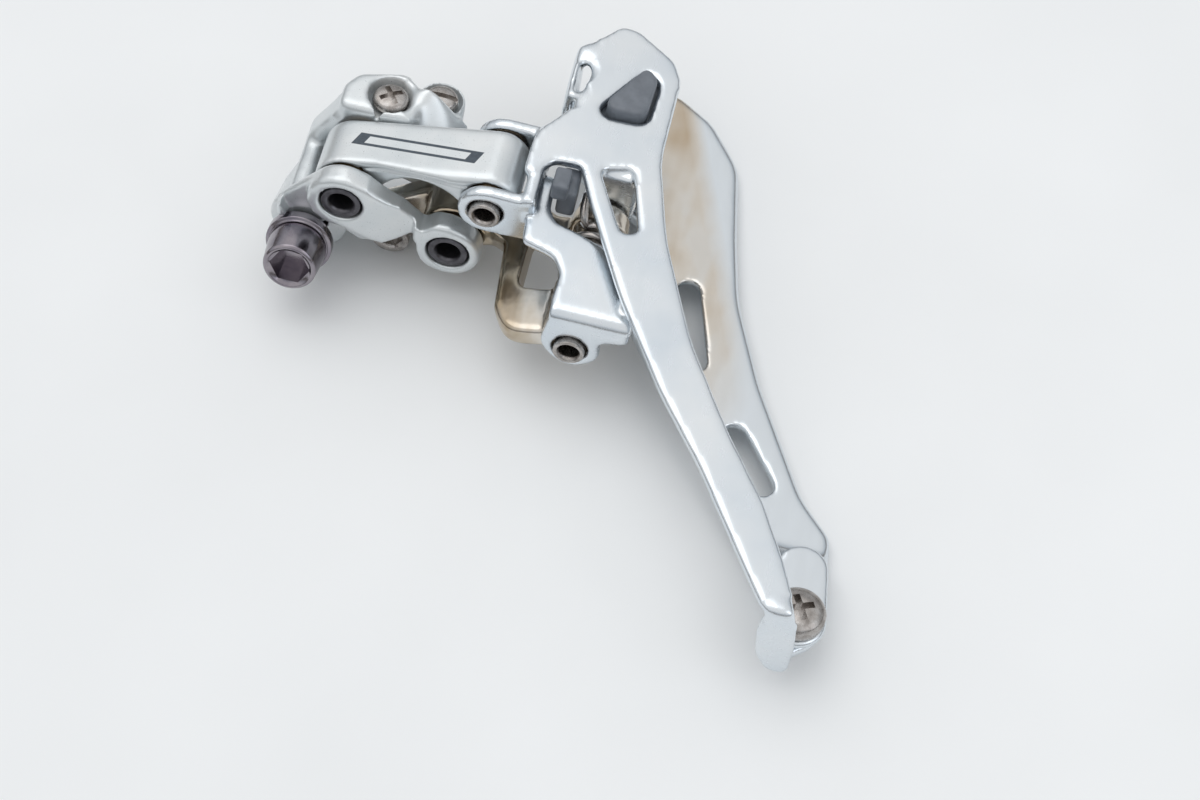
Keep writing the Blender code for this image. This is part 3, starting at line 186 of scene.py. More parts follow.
# A pattern is a grain, as size in mm, detail and stretch, or a function that lays out its own nodes. colour is
# a pattern and its ramp, roughness a pattern with low and high, and a bump a pattern, depth in mm and strength.
rolledGrain = (0.6, 2.0, (1.0, 0.09, 0.5))
finishRecipes = {
    # Die-cast aluminium under silver lacquer: a pale, soft sheen with a very fine flake. Real flake is finer
    # and is drawn as coarse as it needs to show.
    "silverLacquer": {
        "shader": {"Metallic": 0.72, "Coat Weight": 0.35, "Coat Roughness": 0.12},
        "colour": ((9.0,), [(0.3, "CDD3D6"), (0.5, "D9DEE0"), (0.7, "E2E5E6")]),
        "roughness": ((0.16,), 0.27, 0.4),
        "bumps": [((3.2,), 0.06, 0.35), ((0.16,), 0.006, 0.35)]},
    # Chrome-plated steel sheet, barrel polished: a cool satin mirror, its rolling lines all but polished out.
    "platedSheet": {
        "shader": {"Metallic": 1.0},
        "colour": ((14.0,), [(0.3, "D6DEE5"), (0.5, "DFE5EA"), (0.7, "E7EBEE")]),
        "roughness": (rolledGrain, 0.25, 0.28),
        "bumps": [((8.0, 1.0), 0.04, 0.3), (scuffed, 0.001, 0.12)]},
    # Bright nickel over steel: a warm mirror, with browner clouds laid at random as a painted reflection of a brown
    # surround, and fine polishing streaks.
    "nickelPlate": {
        "shader": {"Metallic": 1.0},
        "colour": ((6.0, 3.0, (1.0, 0.35, 1.0)), [(0.32, "AD9C83"), (0.48, "C8BDAD"), (0.66, "DDD8D0")]),
        "roughness": ((0.5, 3.0, (1.0, 0.25, 1.0)), 0.17, 0.24),
        "bumps": [((4.0,), 0.1, 0.35), ((0.5, 3.0, (1.0, 0.25, 1.0)), 0.002, 0.3)]},
    # Nickel, pale and cool round the edges; a painted reflection, a brown tint standing in for the room the plate
    # mirrors, is laid on the flat middle of its face, more so at the nose.
    "innerPlateNickel": {
        "shader": {"Metallic": 1.0},
        "colour": (paintedReflectionMask, [(0.0, "DCE2E7"), (0.45, "D3CDC4"), (1.0, "BBAA92")]),
        "roughness": (rolledGrain, 0.2, 0.27),
        "bumps": [((5.0,), 0.09, 0.35), (rolledGrain, 0.002, 0.3)]},
    # Black chrome on the bolt and its washer: a dark plum-grey mirror, duller in its turning marks.
    "darkChrome": {
        "shader": {"Metallic": 1.0},
        "colour": ((2.5,), [(0.3, "86808A"), (0.7, "A39DA2")]),
        "roughness": ((0.22,), 0.14, 0.26),
        "bumps": [((0.22,), 0.004, 0.4)]},
    # Zinc-passivated steel screws, spring and rivets: warm grey, a little cloudy.
    "passivatedSteel": {
        "shader": {"Metallic": 1.0},
        "colour": ((1.4,), [(0.3, "8F8985"), (0.5, "ADA8A4"), (0.7, "C3C0BE")]),
        "roughness": ((0.2,), 0.22, 0.36),
        "bumps": [((0.2,), 0.008, 0.5)]},
    # Hardened pins with an oiled black oxide skin: dark, with a soft gleam on the rim.
    "oxidisedPin": {
        "shader": {"Metallic": 0.9},
        "colour": ((1.2,), [(0.3, "4B4A4E"), (0.7, "66656A")]),
        "roughness": ((0.25,), 0.28, 0.42)},
    # Sintered bronze bushes: dull brown-gold with open pores.
    "bearingBronze": {
        "shader": {"Metallic": 1.0},
        "colour": ((0.18,), [(0.35, "463D33"), (0.6, "766752")]),
        "roughness": ((0.18,), 0.4, 0.55)},
    # Glass-filled nylon, moulded: mid grey and matt, with a fine orange-peel skin.
    "mouldedNylon": {
        "shader": {"IOR": 1.53},
        "colour": ((2.0,), [(0.3, "636971"), (0.7, "747A82")]),
        "roughness": ((0.3,), 0.34, 0.48),
        "bumps": [((0.3,), 0.02, 0.5)]},
    # Matt white paper swept flat under the object.
    "paperSweep": {
        "shader": {"Roughness": 0.6},
        "colour": ((60.0,), [(0.3, "EEF0F1"), (0.7, "F3F5F6")]),
        "bumps": [((0.5,), 0.02, 0.2)]}}
grainSpan = {"From Min": 0.3, "From Max": 0.7}            # nearly all of a grain's values lie between these


def mixFinish(name, recipe):
    material = bpy.data.materials.new(name)
    material.use_nodes = True
    tree = material.node_tree
    shader = tree.nodes["Principled BSDF"]
    for key, value in recipe["shader"].items():
        shader.inputs[key].default_value = value
    place = addNode(tree, "ShaderNodeTexCoord").outputs["Object"]
    laid = {}

    def laidOut(pattern):
        if pattern not in laid:
            laid[pattern] = pattern(tree, place) if callable(pattern) else grain(tree, place, *pattern)
        return laid[pattern]

    pattern, stops = recipe["colour"]
    colour = addNode(tree, "ShaderNodeValToRGB", {"stops": stops}, {"Fac": laidOut(pattern)})
    tree.links.new(colour.outputs["Color"], shader.inputs["Base Color"])
    if "roughness" in recipe:
        pattern, low, high = recipe["roughness"]
        rough = addNode(tree, "ShaderNodeMapRange", {**grainSpan, "To Min": low, "To Max": high},
                        {"Value": laidOut(pattern)})
        tree.links.new(rough.outputs["Result"], shader.inputs["Roughness"])
    under = {}
    for pattern, depth, strength in recipe.get("bumps", []):
        bump = addNode(tree, "ShaderNodeBump", {"Distance": depth * mm, "Strength": strength},
                       {"Height": laidOut(pattern), **under})
        under = {"Normal": bump.outputs["Normal"]}
    for output in under.values():
        tree.links.new(output, shader.inputs["Normal"])
    return material


finishes = {name: mixFinish(name, recipe) for name, recipe in finishRecipes.items()}
print("finishes mixed")


def standFor(name, mesh, material, node):
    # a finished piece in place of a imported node, riding with its body
    piece = bpy.data.objects.new(name, mesh)
    bpy.context.scene.collection.objects.link(piece)
    mesh.materials.clear()
    mesh.materials.append(material)
    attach(piece, nodes[node]["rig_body"])
    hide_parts(node)


def mergedShape(node):
    bm = bmesh.new()
    bm.from_mesh(nodes[node].data)
    bmesh.ops.remove_doubles(bm, verts=bm.verts, dist=weld)
    return bm


def asMesh(bm, name, sharp=None):
    mesh = bpy.data.meshes.new(name)
    bm.to_mesh(mesh)
    bm.free()
    mesh.shade_smooth()
    if sharp:
        mesh.set_sharp_from_angle(angle=math.radians(sharp))
    return mesh


def throughModifiers(data, *settings):
    # each setting is a modifier's kind and its values; the result is one plain mesh
    worker = bpy.data.objects.new("worker", data)
    bpy.context.scene.collection.objects.link(worker)
    for kind, values in settings:
        modifier = worker.modifiers.new(kind.lower(), kind)
        for key, value in values.items():
            setattr(modifier, key, value)
    graph = bpy.context.evaluated_depsgraph_get()
    result = bpy.data.meshes.new_from_object(worker.evaluated_get(graph))
    bpy.data.objects.remove(worker)
    return result


def soften(bm, verts, rounds):
    for _ in range(rounds):
        bmesh.ops.smooth_vert(bm, verts=verts, factor=0.5, use_axis_x=True, use_axis_y=True, use_axis_z=True)


def evenSkin(bm, name, shape):
    # the shape under an even skin of small faces, its edges softened as casting and polishing do,
    # and softened further at spots of the drawing, given as point, radius in mm and rounds
    skin = throughModifiers(asMesh(bm, name), ("REMESH", {"mode": "VOXEL", "voxel_size": shape["voxel"] * mm}))
    bm = bmesh.new()
    bm.from_mesh(skin)
    soften(bm, bm.verts, shape["rounds"])
    for point, radius, rounds in shape.get("soft", ()):
        centre = drawn(point)
        soften(bm, [v for v in bm.verts if (v.co - centre).length < radius * mm], rounds)
    return bm


def prism(loop, low, high, axis):
    # a loop given in two axes of the drawing, carried between two levels of the third
    third = "xyz".index(axis)
    way = Vector()
    way[third] = high - low
    bm = bmesh.new()
    face = bm.faces.new([bm.verts.new(drawn((*pair[:third], low, *pair[third:]))) for pair in loop])
    made = bmesh.ops.extrude_face_region(bm, geom=[face])["geom"]
    bmesh.ops.translate(bm, vec=drawing.to_3x3() @ (way * mm),
                        verts=[g for g in made if isinstance(g, bmesh.types.BMVert)])
    bmesh.ops.recalc_face_normals(bm, faces=bm.faces)
    return bm


def wrapped(points):
    # the convex skin round points of the drawing
    bm = bmesh.new()
    for point in points:
        bm.verts.new(drawn(point))
    made = bmesh.ops.convex_hull(bm, input=bm.verts[:])
    spare = {g for key in ("geom_interior", "geom_unused") for g in made[key] if isinstance(g, bmesh.types.BMVert)}
    bmesh.ops.delete(bm, geom=list(spare), context="VERTS")
    bmesh.ops.recalc_face_normals(bm, faces=bm.faces)
    return bm


def alongPins(x, z):
    # where local Z runs forward along the pins, through a point of the drawing
    return drawing @ Matrix.Translation(Vector((x, 0, z)) * mm) @ Matrix.Rotation(math.radians(-90), 4, "X")


def facingOut(x, y, z):
    # where local Z points outboard
    return drawing @ Matrix.Translation(Vector((x, y, z)) * mm) @ Matrix.Rotation(math.radians(90), 4, "Y")


def turnedShape(profile, rounding, steps=64, closed=False):
    # a lathe profile of (radius, height) in mm, its corners rounded, spun about local Z
    bm = bmesh.new()
    verts = [bm.verts.new((radius * mm, 0, height * mm)) for radius, height in profile]
    for a, b in zip(verts, verts[1:] + (verts[:1] if closed else [])):
        bm.edges.new((a, b))
    corners = [v for v in verts if len(v.link_edges) == 2]
    bmesh.ops.bevel(bm, geom=corners, offset=rounding * mm, affect="VERTICES", segments=3, profile=0.5, material=-1)
    bmesh.ops.spin(bm, geom=bm.verts[:] + bm.edges[:], cent=(0, 0, 0), axis=(0, 0, 1), angle=math.tau,
                   steps=steps, use_merge=True)
    bmesh.ops.remove_doubles(bm, verts=bm.verts, dist=weld / 2)
    bmesh.ops.recalc_face_normals(bm, faces=bm.faces)
    return bm


def sinkHexagon(bm, width, lip, floor):
    # the open rim of a turned head runs into a hexagon at one height and straight down to its floor
    ring = [e for e in bm.edges if e.is_boundary]
    for height in (lip, floor):
        made = bmesh.ops.extrude_edge_only(bm, edges=ring)["geom"]
        for vert in [g for g in made if isinstance(g, bmesh.types.BMVert)]:
            angle = math.atan2(vert.co.y, vert.co.x)
            radius = width / 2 / math.cos((angle + math.pi / 6) % (math.pi / 3) - math.pi / 6) * mm
            vert.co = (radius * math.cos(angle), radius * math.sin(angle), height * mm)
        ring = [g for g in made if isinstance(g, bmesh.types.BMEdge)]
    bmesh.ops.holes_fill(bm, edges=ring, sides=0)
    bmesh.ops.recalc_face_normals(bm, faces=bm.faces)


def setDown(name, bm, place, finish, node):
    # a turned piece, laid in its place
    bmesh.ops.transform(bm, matrix=place, verts=bm.verts)
    standFor(name, asMesh(bm, name, 40), finishes[finish], node)


def cutAway(mesh, cutter):
    # the mesh less the cutter, both in the same place
    tool = bpy.data.objects.new("cutter", asMesh(cutter, "cutter"))
    bpy.context.scene.collection.objects.link(tool)
    result = throughModifiers(mesh, ("BOOLEAN", {"operation": "DIFFERENCE", "object": tool, "solver": "EXACT"}))
    bpy.data.objects.remove(tool)
    return result


lobeRim = 4.85                                            # radius of the upper lobe where it stands proud
bodyShape = {
    "voxel": 0.2, "rounds": 10,
    # the rear arm draws in sharply between its lobes, seen along the pins (X, Z)
    "lowerNotch": [(-7.6, -5.4), (-6.5, -6.9), (-5.7, -8.3), (-4.1, -10.3), (-4.6, -10.85), (-6.0, -11.1),
                   (-7.5, -11.7), (-8.6, -12.6), (-12.0, -13.5), (-12.0, -5.4)],
    "upperNotch": [(3.9, -6.2), (2.3, -7.2), (0.5, -8.5), (-0.9, -10.0), (-1.9, -11.5), (-1.4, -12.2),
                   (-0.6, -13.0), (0.3, -14.3), (6.0, -14.3), (6.0, -6.2)],
    "notchDepth": 3.75,
    # its face falls away from the upper lobe towards the neck (Y, Z), over this range of X
    "faceSlope": [(-1.0, -3.8), (0.0, -3.8), (0.5, -6.5), (1.5, -10.3), (-1.0, -10.5)], "slopeReach": (-9.0, 5.0),
    # a nick runs out of the first limit screw's well (Y, Z), over this range of X
    "nick": [(12.6, -1.7), (15.3, -4.3), (15.3, 0.2)], "nickReach": (4.3, 7.0),
    # the upper lobe stands proud of the root behind it, between two angles seen along the pins
    "lobeStep": {"inner": lobeRim, "outer": 9.0, "depth": 1.9, "from": 62.0, "to": 192.0, "parts": 24},
    "cutterStart": -1.0,                                  # the cutters along the pins start behind the rear face
    # the casting sweeps from the screw block down to the back wall
    "sweep": [(4.6, 13.4, 3.4), (4.6, 18.6, 3.0), (-3.3, 13.0, 8.1), (-3.3, 17.2, 8.1), (-6.0, 13.0, 5.0),
              (-6.0, 17.2, 5.0), (0.5, 13.0, 3.0), (0.5, 18.6, 3.0)],
    # and from its other side down along the second screw, which it half hides
    "shoulder": [(5.7, 17.0, -5.5), (5.7, 19.4, -5.5), (7.4, 18.4, -7.6), (6.6, 18.3, -9.3), (4.0, 18.2, -11.9),
                 (1.8, 17.8, -14.0), (3.6, 13.2, -6.8), (0.6, 13.0, -13.0), (-2.0, 13.0, -6.0), (-2.0, 17.6, -13.4),
                 (-2.0, 19.4, -5.5)],
    # the rear arm's face swells a little from the upper lobe towards the neck
    "belly": [(-4.0, 0.15, -1.0), (-5.6, 0.25, -0.9), (-6.8, 0.35, -3.1), (-6.7, 0.7, -5.9), (-5.6, 1.1, -8.2),
              (-4.0, 1.6, -10.3), (-4.0, 3.5, -1.0), (-5.6, 3.5, -0.9), (-6.8, 3.5, -3.1), (-6.7, 3.5, -5.9),
              (-5.6, 3.5, -8.2), (-4.0, 3.5, -10.3)],
    # softened further: round the lobe's rim, along both sweeps, at the neck and on the shoulder
    "soft": [((lobeRim * math.cos(math.radians(a)), 0.0, lobeRim * math.sin(math.radians(a))), 1.9, 8)
             for a in range(-20, 220, 30)]
            + [((-3.3, 15.0, 6.0), 6.0, 25), ((-3.2, 8.0, 6.5), 6.0, 20), ((-4.0, 1.0, -7.5), 4.0, 12),
               ((5.6, 17.5, -8.5), 5.0, 70)]}


def lobeCrescent(step):
    # the ring between two radii, from one angle to the other, as a loop (X, Z)
    span = step["to"] - step["from"]
    angles = [math.radians(step["from"] + span * i / step["parts"]) for i in range(step["parts"] + 1)]
    return [(radius * math.cos(a), radius * math.sin(a))
            for radius, way in ((step["inner"], angles), (step["outer"], reversed(angles))) for a in way]


def castBody():
    s = bodyShape
    step, start = s["lobeStep"], s["cutterStart"]
    mesh = asMesh(mergedShape("body_casting"), "castBody")
    for cutter in (prism(lobeCrescent(step), start, step["depth"], "y"),
                   prism(s["lowerNotch"], start, s["notchDepth"], "y"),
                   prism(s["upperNotch"], start, s["notchDepth"], "y"),
                   prism(s["faceSlope"], *s["slopeReach"], "x"), prism(s["nick"], *s["nickReach"], "x")):
        mesh = cutAway(mesh, cutter)
    bm = bmesh.new()
    bm.from_mesh(mesh)
    for extra in ("sweep", "shoulder", "belly"):
        bm.from_mesh(asMesh(wrapped(s[extra]), extra))
    standFor("castBody", asMesh(evenSkin(bm, "castBody", s), "castBody"), finishes["silverLacquer"], "body_casting")


outerLinkShape = {"voxel": 0.17, "rounds": 30}
# a plain band is printed on the outer link's face, in mm along and across the link
stripeShape = {"level": 8.49, "slope": 0.1114, "shear": 0.458, "half": 1.12, "border": 0.46, "end": 1.7,
               "reach": (1.2, 20.0), "height": (3.4, 9.0), "inkEdge": 0.04, "heightEdge": 0.1,
               "ink": [(0.3, "333E49"), (0.7, "44505B")], "inkGrain": 0.5, "inkMetallic": 0.1}
# a fine line is cast into the link's rear wall, just under its face: points along the link and inboard
linkLine = {"path": [(2.6, -3.2), (6.0, -3.5), (10.0, -3.45), (14.0, -3.1), (17.6, -2.6)],
            "width": 0.42, "depth": 0.32, "wall": 4.9}


def stripedLacquer():
    # The lacquer of the link with its printed band: two slate borders with bare lacquer between them.
    s = stripeShape
    recipe = finishRecipes["silverLacquer"]
    material = mixFinish("stripedLacquer", recipe)
    tree = material.node_tree
    shader = tree.nodes["Principled BSDF"]
    place = addNode(tree, "ShaderNodeTexCoord").outputs["Object"]
    link = Vector((math.cos(linkTurn), 0, math.sin(linkTurn)))
    level = (0, s["level"], 0)
    across = alongDrawing(tree, place, link * s["slope"] + Vector((0, 1, 0)), level)
    along = alongDrawing(tree, place, link - Vector((0, s["shear"], 0)), level)
    height = alongDrawing(tree, place, (-link.z, 0, link.x), (0, 0, 0))
    areas = [allOf(tree, [within(tree, across, side - s["half"], s["half"] - side, s["inkEdge"]),
                          within(tree, along, s["reach"][0] + end, s["reach"][1] - end, s["inkEdge"])])
             for side, end in ((0, 0), (s["border"], s["end"]))]
    border = addNode(tree, "ShaderNodeMath", {"operation": "SUBTRACT"}, {0: areas[0], 1: areas[1]}).outputs[0]
    printed = allOf(tree, [border, within(tree, height, *s["height"], s["heightEdge"])])
    lacquer = shader.inputs["Base Color"].links[0].from_socket
    ink = addNode(tree, "ShaderNodeValToRGB", {"stops": s["ink"]}, {"Fac": grain(tree, place, s["inkGrain"])})
    mixed = addNode(tree, "ShaderNodeMix", {"data_type": "RGBA"}, {0: printed, 6: lacquer, 7: ink.outputs["Color"]})
    tree.links.new(mixed.outputs[2], shader.inputs["Base Color"])
    dull = addNode(tree, "ShaderNodeMapRange", {"To Min": recipe["shader"]["Metallic"], "To Max": s["inkMetallic"]},
                   {"Value": printed})
    tree.links.new(dull.outputs["Result"], shader.inputs["Metallic"])
    return material


def scoreLine(bm):
    s = linkLine
    toDrawing = drawing.inverted()
    path = [Vector(point) for point in s["path"]]
    bm.normal_update()
    for vert in bm.verts:
        spot = toDrawing @ vert.co / mm
        if spot.y > s["wall"]:
            continue
        flat = Vector((spot.x * math.cos(linkTurn) + spot.z * math.sin(linkTurn),
                       spot.x * math.sin(linkTurn) - spot.z * math.cos(linkTurn)))
        gaps = []
        for start, end in zip(path, path[1:]):
            share = max(0.0, min(1.0, (flat - start).dot(end - start) / (end - start).length_squared))
            gaps.append((flat - start.lerp(end, share)).length / s["width"])
        if min(gaps) < 1:
            vert.co -= vert.normal * s["depth"] * (1 - min(gaps) ** 2) ** 2 * mm


def outerLink():
    bm = evenSkin(mergedShape("outer_link"), "archLink", outerLinkShape)
    scoreLine(bm)
    standFor("archLink", asMesh(bm, "archLink"), stripedLacquer(), "outer_link")


# pieces that keep their packed form under an even, softened skin, by name
skinnedShapes = {
    "steppedLink": {"node": "inner_link", "finish": "nickelPlate", "voxel": 0.18, "rounds": 14},
    "outerPlate": {"node": "outer_cage_plate", "finish": "platedSheet", "voxel": 0.24, "rounds": 12,
                   "soft": [((9.0, -55.0, -69.0), 3.0, 60), ((9.0, 26.0, -26.8), 3.4, 50),
                            ((9.0, 21.0, -27.2), 3.0, 50), ((9.0, 30.0, -27.0), 3.0, 50)]},
    "innerPlate": {"node": "inner_cage_plate", "finish": "innerPlateNickel", "voxel": 0.22, "rounds": 11},
    "moulded_guide_pad": {"node": "guide_pad", "finish": "mouldedNylon", "voxel": 0.16, "rounds": 5},
    "moulded_bumper_block": {"node": "bumper_block", "finish": "mouldedNylon", "voxel": 0.1, "rounds": 5}}


def skinned(*names):
    for name in names:
        s = skinnedShapes[name]
        bm = evenSkin(mergedShape(s["node"]), name, s)
        standFor(name, asMesh(bm, name), finishes[s["finish"]], s["node"])


# the mounting bolt, its heights measured back from the saddle, and the domed washer under its head
boltShape = {"centre": (-10.4, 4.0, 5.2), "yaw": 12.4, "tabGap": 3.6, "washer": 1.7, "washerRadius": 4.7,
             "headRadius": 4.1, "rimRadius": 3.75, "headHeight": 5.0, "flange": 0.8, "hex": 5.0, "hexDepth": 3.2,
             "mouth": 0.04, "bevel": 0.3, "mouthBevel": 0.25, "lip": 0.42, "shank": 2.4, "reach": 8.0, "tip": 0.4,
             "clearance": 0.3, "shoulder": 0.5, "shoulderDrop": (0.18, 0.3)}


def alongBolt():
    # where local Z runs back along the bolt, from the saddle to the head
    spin = Euler((math.radians(90), 0, math.radians(boltShape["yaw"]))).to_matrix().to_4x4()
    return drawing @ Matrix.Translation(Vector(boltShape["centre"]) * mm) @ spin


def mountingBolt():
    s = boltShape
    under = s["tabGap"] + s["washer"] + s["clearance"]
    top = under + s["headHeight"]
    mouth = s["hex"] / math.sqrt(3) + s["mouth"]          # the rim opens a little wider than the hexagon's corners
    profile = [(mouth, top - s["bevel"]), (mouth + s["mouthBevel"], top), (s["rimRadius"] - s["bevel"], top),
               (s["rimRadius"], top - s["bevel"]), (s["headRadius"], under + s["flange"]), (s["headRadius"], under),
               (s["shank"], under), (s["shank"], s["tip"] - s["reach"]), (s["shank"] - s["tip"], -s["reach"]),
               (0, -s["reach"])]
    bm = turnedShape(profile, rounding=0.1, steps=72)
    sinkHexagon(bm, s["hex"], top - s["lip"], top - s["hexDepth"])
    setDown("capBolt", bm, alongBolt(), "darkChrome", "mounting_bolt")


def mountingWasher():
    s = boltShape
    low, high, edge = s["tabGap"], s["tabGap"] + s["washer"], s["washerRadius"]
    bore, inner = s["shank"] + s["clearance"], s["washerRadius"] - s["shoulder"]
    profile = [(bore, high), (inner, high), (inner, high - s["shoulderDrop"][0]), (edge, high - s["shoulderDrop"][1]),
               (edge, low), (bore, low)]
    bm = turnedShape(profile, rounding=0.12, steps=72, closed=True)
    setDown("domedWasher", bm, alongBolt(), "darkChrome", "mounting_washer")


# the hollow pins, by node, from rear to front, with a small countersink at the rear
pinShapes = {
    "pivot_pin_body_outer": {"at": upperOuter, "radius": 2.8, "bore": 1.65, "rear": 0.25, "front": 14.0},
    "pivot_pin_body_inner": {"at": upperInner, "radius": 2.8, "bore": 1.65, "rear": 0.25, "front": 17.3},
    "pivot_pin_cage_outer": {"at": lowerOuter, "radius": 2.15, "bore": 1.35, "rear": -0.6, "front": 15.0},
    "pivot_pin_cage_inner": {"at": lowerInner, "radius": 2.15, "bore": 1.35, "rear": -16.1, "front": 10.7}}
countersink = {"width": 0.3, "depth": 0.5}


def hollowPins():
    for node, s in pinShapes.items():
        radius, bore, rear, front = s["radius"], s["bore"], s["rear"], s["front"]
        profile = [(bore, front), (radius, front), (radius, rear), (bore + countersink["width"], rear),
                   (bore, rear + countersink["depth"])]
        bm = turnedShape(profile, rounding=0.18, steps=56, closed=True)
        finish = "oxidisedPin" if "body" in node else "passivatedSteel"
        setDown(node.replace("pivot_pin", "hollowPin"), bm, alongPins(*s["at"]), finish, node)


# the screws, by node: (X, Y, Z) under the head, sizes, and slots as turn and width, with half length and depth
screwShapes = {
    "limit_screw_inner": {"at": (4.3, 16.7, -2.8), "head": 2.5, "height": 1.6, "shank": 1.5, "reach": 5.0,
                          "slots": ((35, 0.75), (125, 0.75)), "half": 1.7, "depth": 0.9},
    "limit_screw_outer": {"at": (2.1, 20.7, -9.3), "head": 2.35, "height": 1.6, "shank": 1.5, "reach": 5.0,
                          "slots": ((0, 0.8),), "half": 3.0, "depth": 0.8},
    "tail_screw": {"at": (1.5, -49.6, -71.5), "head": 3.6, "height": 2.6, "shank": 1.6, "reach": 4.0,
                   "slots": ((25, 0.9), (115, 0.9)), "half": 1.9, "depth": 1.3}}
# the dome, as shares of the head's radius and of its height below the top
screwDome = ((0.7, 0.12), (0.9, 0.26), (1.0, 0.5))
screwEnd = {"crown": (0.4, 0.06), "tip": 0.4, "slotAbove": 1.0}


def facedScrews():
    for node, s in screwShapes.items():
        head, height, tip = s["head"], s["height"], screwEnd["tip"]
        crown, drop = screwEnd["crown"]
        profile = [(0, height), (head * crown, height - drop)]
        profile += [(head * out, height - height * down) for out, down in screwDome]
        profile += [(head, 0), (s["shank"], 0), (s["shank"], tip - s["reach"]), (s["shank"] - tip, -s["reach"]),
                    (0, -s["reach"])]
        mesh = asMesh(turnedShape(profile, rounding=0.2), node)
        low, high = height - s["depth"], height + screwEnd["slotAbove"]
        for turn, width in s["slots"]:
            slot = bmesh.new()
            bmesh.ops.create_cube(slot, size=mm, matrix=(
                Matrix.Rotation(math.radians(turn), 4, "Z") @ Matrix.Translation((0, 0, (low + high) / 2 * mm))
                @ Matrix.Diagonal((2 * s["half"], width, high - low, 1))))
            mesh = cutAway(mesh, slot)
        mesh.transform(facingOut(*s["at"]))
        mesh.set_sharp_from_angle(angle=math.radians(35))
        standFor("faced_" + node, mesh, finishes["passivatedSteel"], node)


# the return spring, one wire wound round the lower inner pin, and its two legs
springShape = {"wire": 1.2, "radius": 3.45, "turns": 4.0, "pitch": 1.8, "perTurn": 36, "start": 20.0, "middle": 0.2,
               "legIn": (2.6, 1.3), "leave": 0.6, "legOut": ((4.2, 0.1, 2.3), (5.0, 1.2, 2.6), (5.1, 3.6, 2.65))}


def springPath():
    s = springShape
    count, half, start = int(s["turns"] * s["perTurn"]), s["turns"] * s["pitch"] / 2, math.radians(s["start"])
    coil = []
    for i in range(count + 1):
        angle = math.tau * i / s["perTurn"] + start
        coil.append((s["radius"] * math.cos(angle), -half + s["pitch"] * i / s["perTurn"],
                     s["radius"] * math.sin(angle)))
    first, last = coil[0], coil[-1]
    legIn = [(first[0] + math.sin(start) * d, first[1], first[2] - math.cos(start) * d) for d in s["legIn"]]
    legOut = [(last[0] - math.sin(start) * s["leave"], last[1], last[2] + math.cos(start) * s["leave"])]
    legOut += [(x, last[1] + y, z) for x, y, z in s["legOut"]]
    return legIn + coil + legOut


def woundSpring():
    path = springPath()
    curve = bpy.data.curves.new("woundSpring", "CURVE")
    curve.dimensions = "3D"
    curve.bevel_depth = springShape["wire"] / 2 * mm
    curve.bevel_resolution = 4
    curve.use_fill_caps = True
    spline = curve.splines.new("POLY")
    spline.points.add(len(path) - 1)
    for point, (x, y, z) in zip(spline.points, path):
        point.co = (*drawn((lowerInner[0] + x, y + springShape["middle"], lowerInner[1] + z)), 1)
    bm = bmesh.new()
    bm.from_mesh(throughModifiers(curve))
    bmesh.ops.remove_doubles(bm, verts=bm.verts, dist=weld)
    standFor("woundSpring", asMesh(bm, "woundSpring", 50), finishes["passivatedSteel"], "return_spring")


# the cable anchor on the inner link's short arm, its heights measured rearward from the drawing's Y = 0
anchorShape = {"length": 10.8, "angle": 124.0, "face": -9.0, "washer": 1.3, "washerRadius": 3.1, "clearance": 0.3,
               "head": 2.2, "headRadius": 2.7, "bolt": 2.2, "hex": 3.0, "hexDepth": 1.4, "lip": 0.25, "mouth": 0.05,
               "mouthBevel": 0.15, "end": -13.5}


def cableAnchor():
    s = anchorShape
    turn = math.radians(s["angle"])
    at = (upperInner[0] + s["length"] * math.cos(turn), upperInner[1] + s["length"] * math.sin(turn))
    rearward = alongPins(*at) @ Matrix.Rotation(math.pi, 4, "X")
    face, top, bore = s["face"], s["face"] + s["washer"], s["bolt"] + s["clearance"]
    washer = turnedShape([(bore, top), (s["washerRadius"], top), (s["washerRadius"], face), (bore, face)],
                         rounding=0.25, closed=True)
    setDown("pinchWasher", washer, rearward, "passivatedSteel", "cable_pinch_washer")
    under = top + s["clearance"]
    head = under + s["head"]
    mouth = s["hex"] / math.sqrt(3) + s["mouth"]
    bolt = turnedShape([(mouth, head - s["mouthBevel"]), (mouth + s["mouthBevel"], head), (s["headRadius"], head),
                        (s["headRadius"], under), (s["bolt"], under), (s["bolt"], s["end"]), (0, s["end"])],
                       rounding=0.12, steps=60)
    sinkHexagon(bolt, s["hex"], head - s["lip"], head - s["hexDepth"])
    setDown("anchorBolt", bolt, rearward, "passivatedSteel", "cable_anchor_bolt")


def asPacked():
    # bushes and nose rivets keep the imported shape, merged and smooth
    for node in nodes:
        finish = {"bush": "bearingBronze", "nose": "passivatedSteel"}.get(node.split("_")[0])
        if finish:
            standFor("smooth_" + node, asMesh(mergedShape(node), node, 35), finishes[finish], node)


studio = {
    "floor": 1.6, "azimuth": 17.29, "elevation": 55.3, "roll": -8.01, "distance": 386.66,
    "lookAt": (7.35, -5.77, 0.0), "lens": 85, "nearest": 0.01,
    "softboxes": {"topLight": {"size": (0.9, 0.9), "power": 2.2, "place": (-0.15, 0.25, 0.95), "colour": "FFFFFF"},
                  "sideLight": {"size": (0.5, 0.7), "power": 0.9, "place": (0.85, -0.2, 0.5), "colour": "F4F8FF"}},
    # the room from the horizon up, by the height of the view
    "room": [(0.0, "5C5650"), (0.12, "8E8A86"), (0.34, "D6DCE2"), (0.6, "FFFFFF")], "roomStrength": 0.82}


def paleFloor():
    bm = bmesh.new()
    bmesh.ops.create_grid(bm, x_segments=2, y_segments=2, size=studio["floor"] / 2)
    floor = bpy.data.objects.new("paleFloor", asMesh(bm, "paleFloor"))
    bpy.context.scene.collection.objects.link(floor)
    floor.data.materials.append(finishes["paperSweep"])


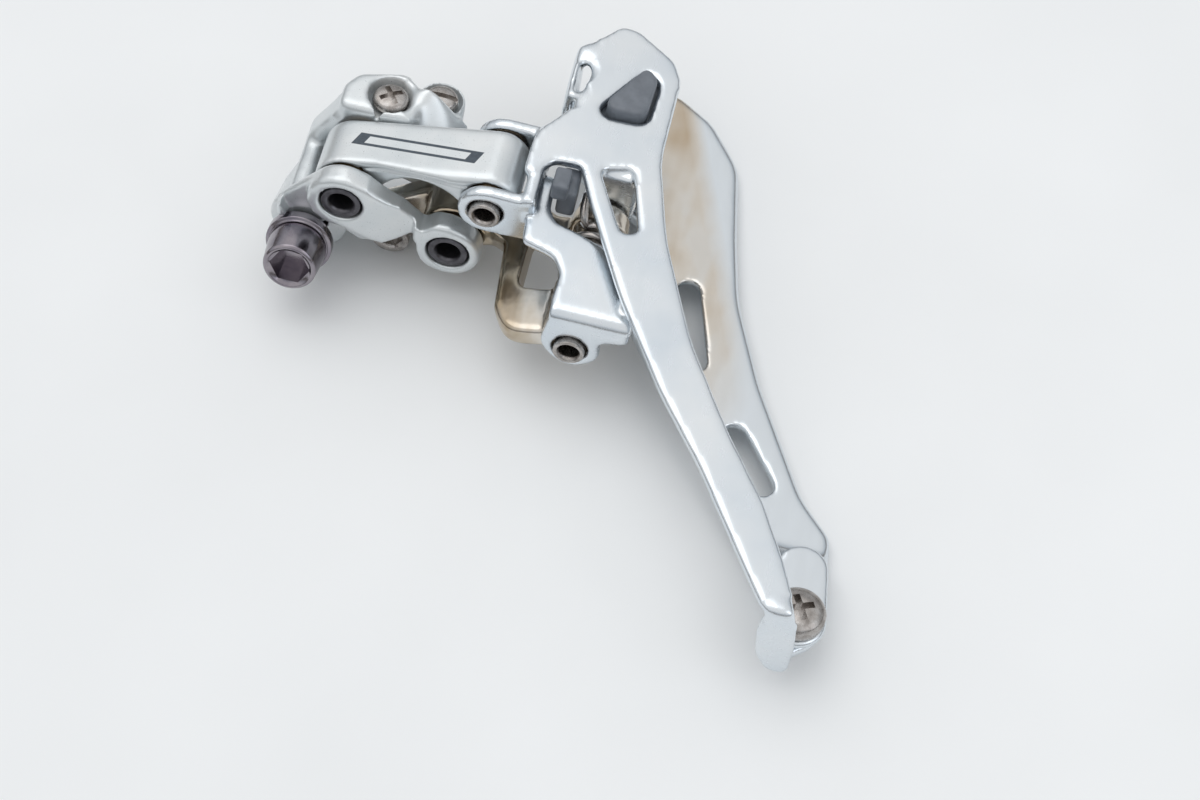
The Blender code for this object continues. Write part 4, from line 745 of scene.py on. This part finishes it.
def studioLight():
    for name, s in studio["softboxes"].items():
        light = bpy.data.lights.new(name, "AREA")
        light.shape = "RECTANGLE"
        light.size, light.size_y = s["size"]
        light.energy = s["power"]
        light.color = linearColour(s["colour"])[:3]
        lamp = bpy.data.objects.new(name, light)
        lamp.location = s["place"]
        lamp.rotation_euler = (-Vector(s["place"])).to_track_quat("-Z", "Y").to_euler()
        bpy.context.scene.collection.objects.link(lamp)
    world = bpy.data.worlds.new("paleRoom")
    world.use_nodes = True
    tree = world.node_tree
    way = addNode(tree, "ShaderNodeTexCoord").outputs["Generated"]
    level = addNode(tree, "ShaderNodeSeparateXYZ", links={"Vector": way}).outputs["Z"]
    colour = addNode(tree, "ShaderNodeValToRGB", {"stops": studio["room"]}, {"Fac": level}).outputs["Color"]
    tree.links.new(colour, tree.nodes["Background"].inputs["Color"])
    tree.nodes["Background"].inputs["Strength"].default_value = studio["roomStrength"]
    bpy.context.scene.view_settings.view_transform = "Standard"    # keeps the pale metals as pale as they are
    bpy.context.scene.world = world


def photoCamera():
    s = studio
    around, up = math.radians(s["azimuth"]), math.radians(s["elevation"])
    away = Vector((math.sin(around) * math.cos(up), -math.cos(around) * math.cos(up), math.sin(up)))
    camera = bpy.data.objects.new("photoCamera", bpy.data.cameras.new("photoCamera"))
    camera.data.lens = s["lens"]
    camera.data.clip_start = s["nearest"]
    camera.location = (Vector(s["lookAt"]) + away * s["distance"]) * mm
    facing = away.to_track_quat("Z", "Y").to_matrix()
    camera.rotation_euler = (facing @ Matrix.Rotation(math.radians(s["roll"]), 3, "Z")).to_euler()
    bpy.context.scene.collection.objects.link(camera)
    bpy.context.scene.camera = camera


castBody()
print("cast body")
outerLink()
skinned("steppedLink")
print("links")
skinned("outerPlate", "innerPlate")
print("cage plates")
mountingBolt()
mountingWasher()
hollowPins()
facedScrews()
woundSpring()
cableAnchor()
skinned("moulded_guide_pad", "moulded_bumper_block")
asPacked()
print("small pieces")
paleFloor()
studioLight()
photoCamera()
print("floor, light and camera")
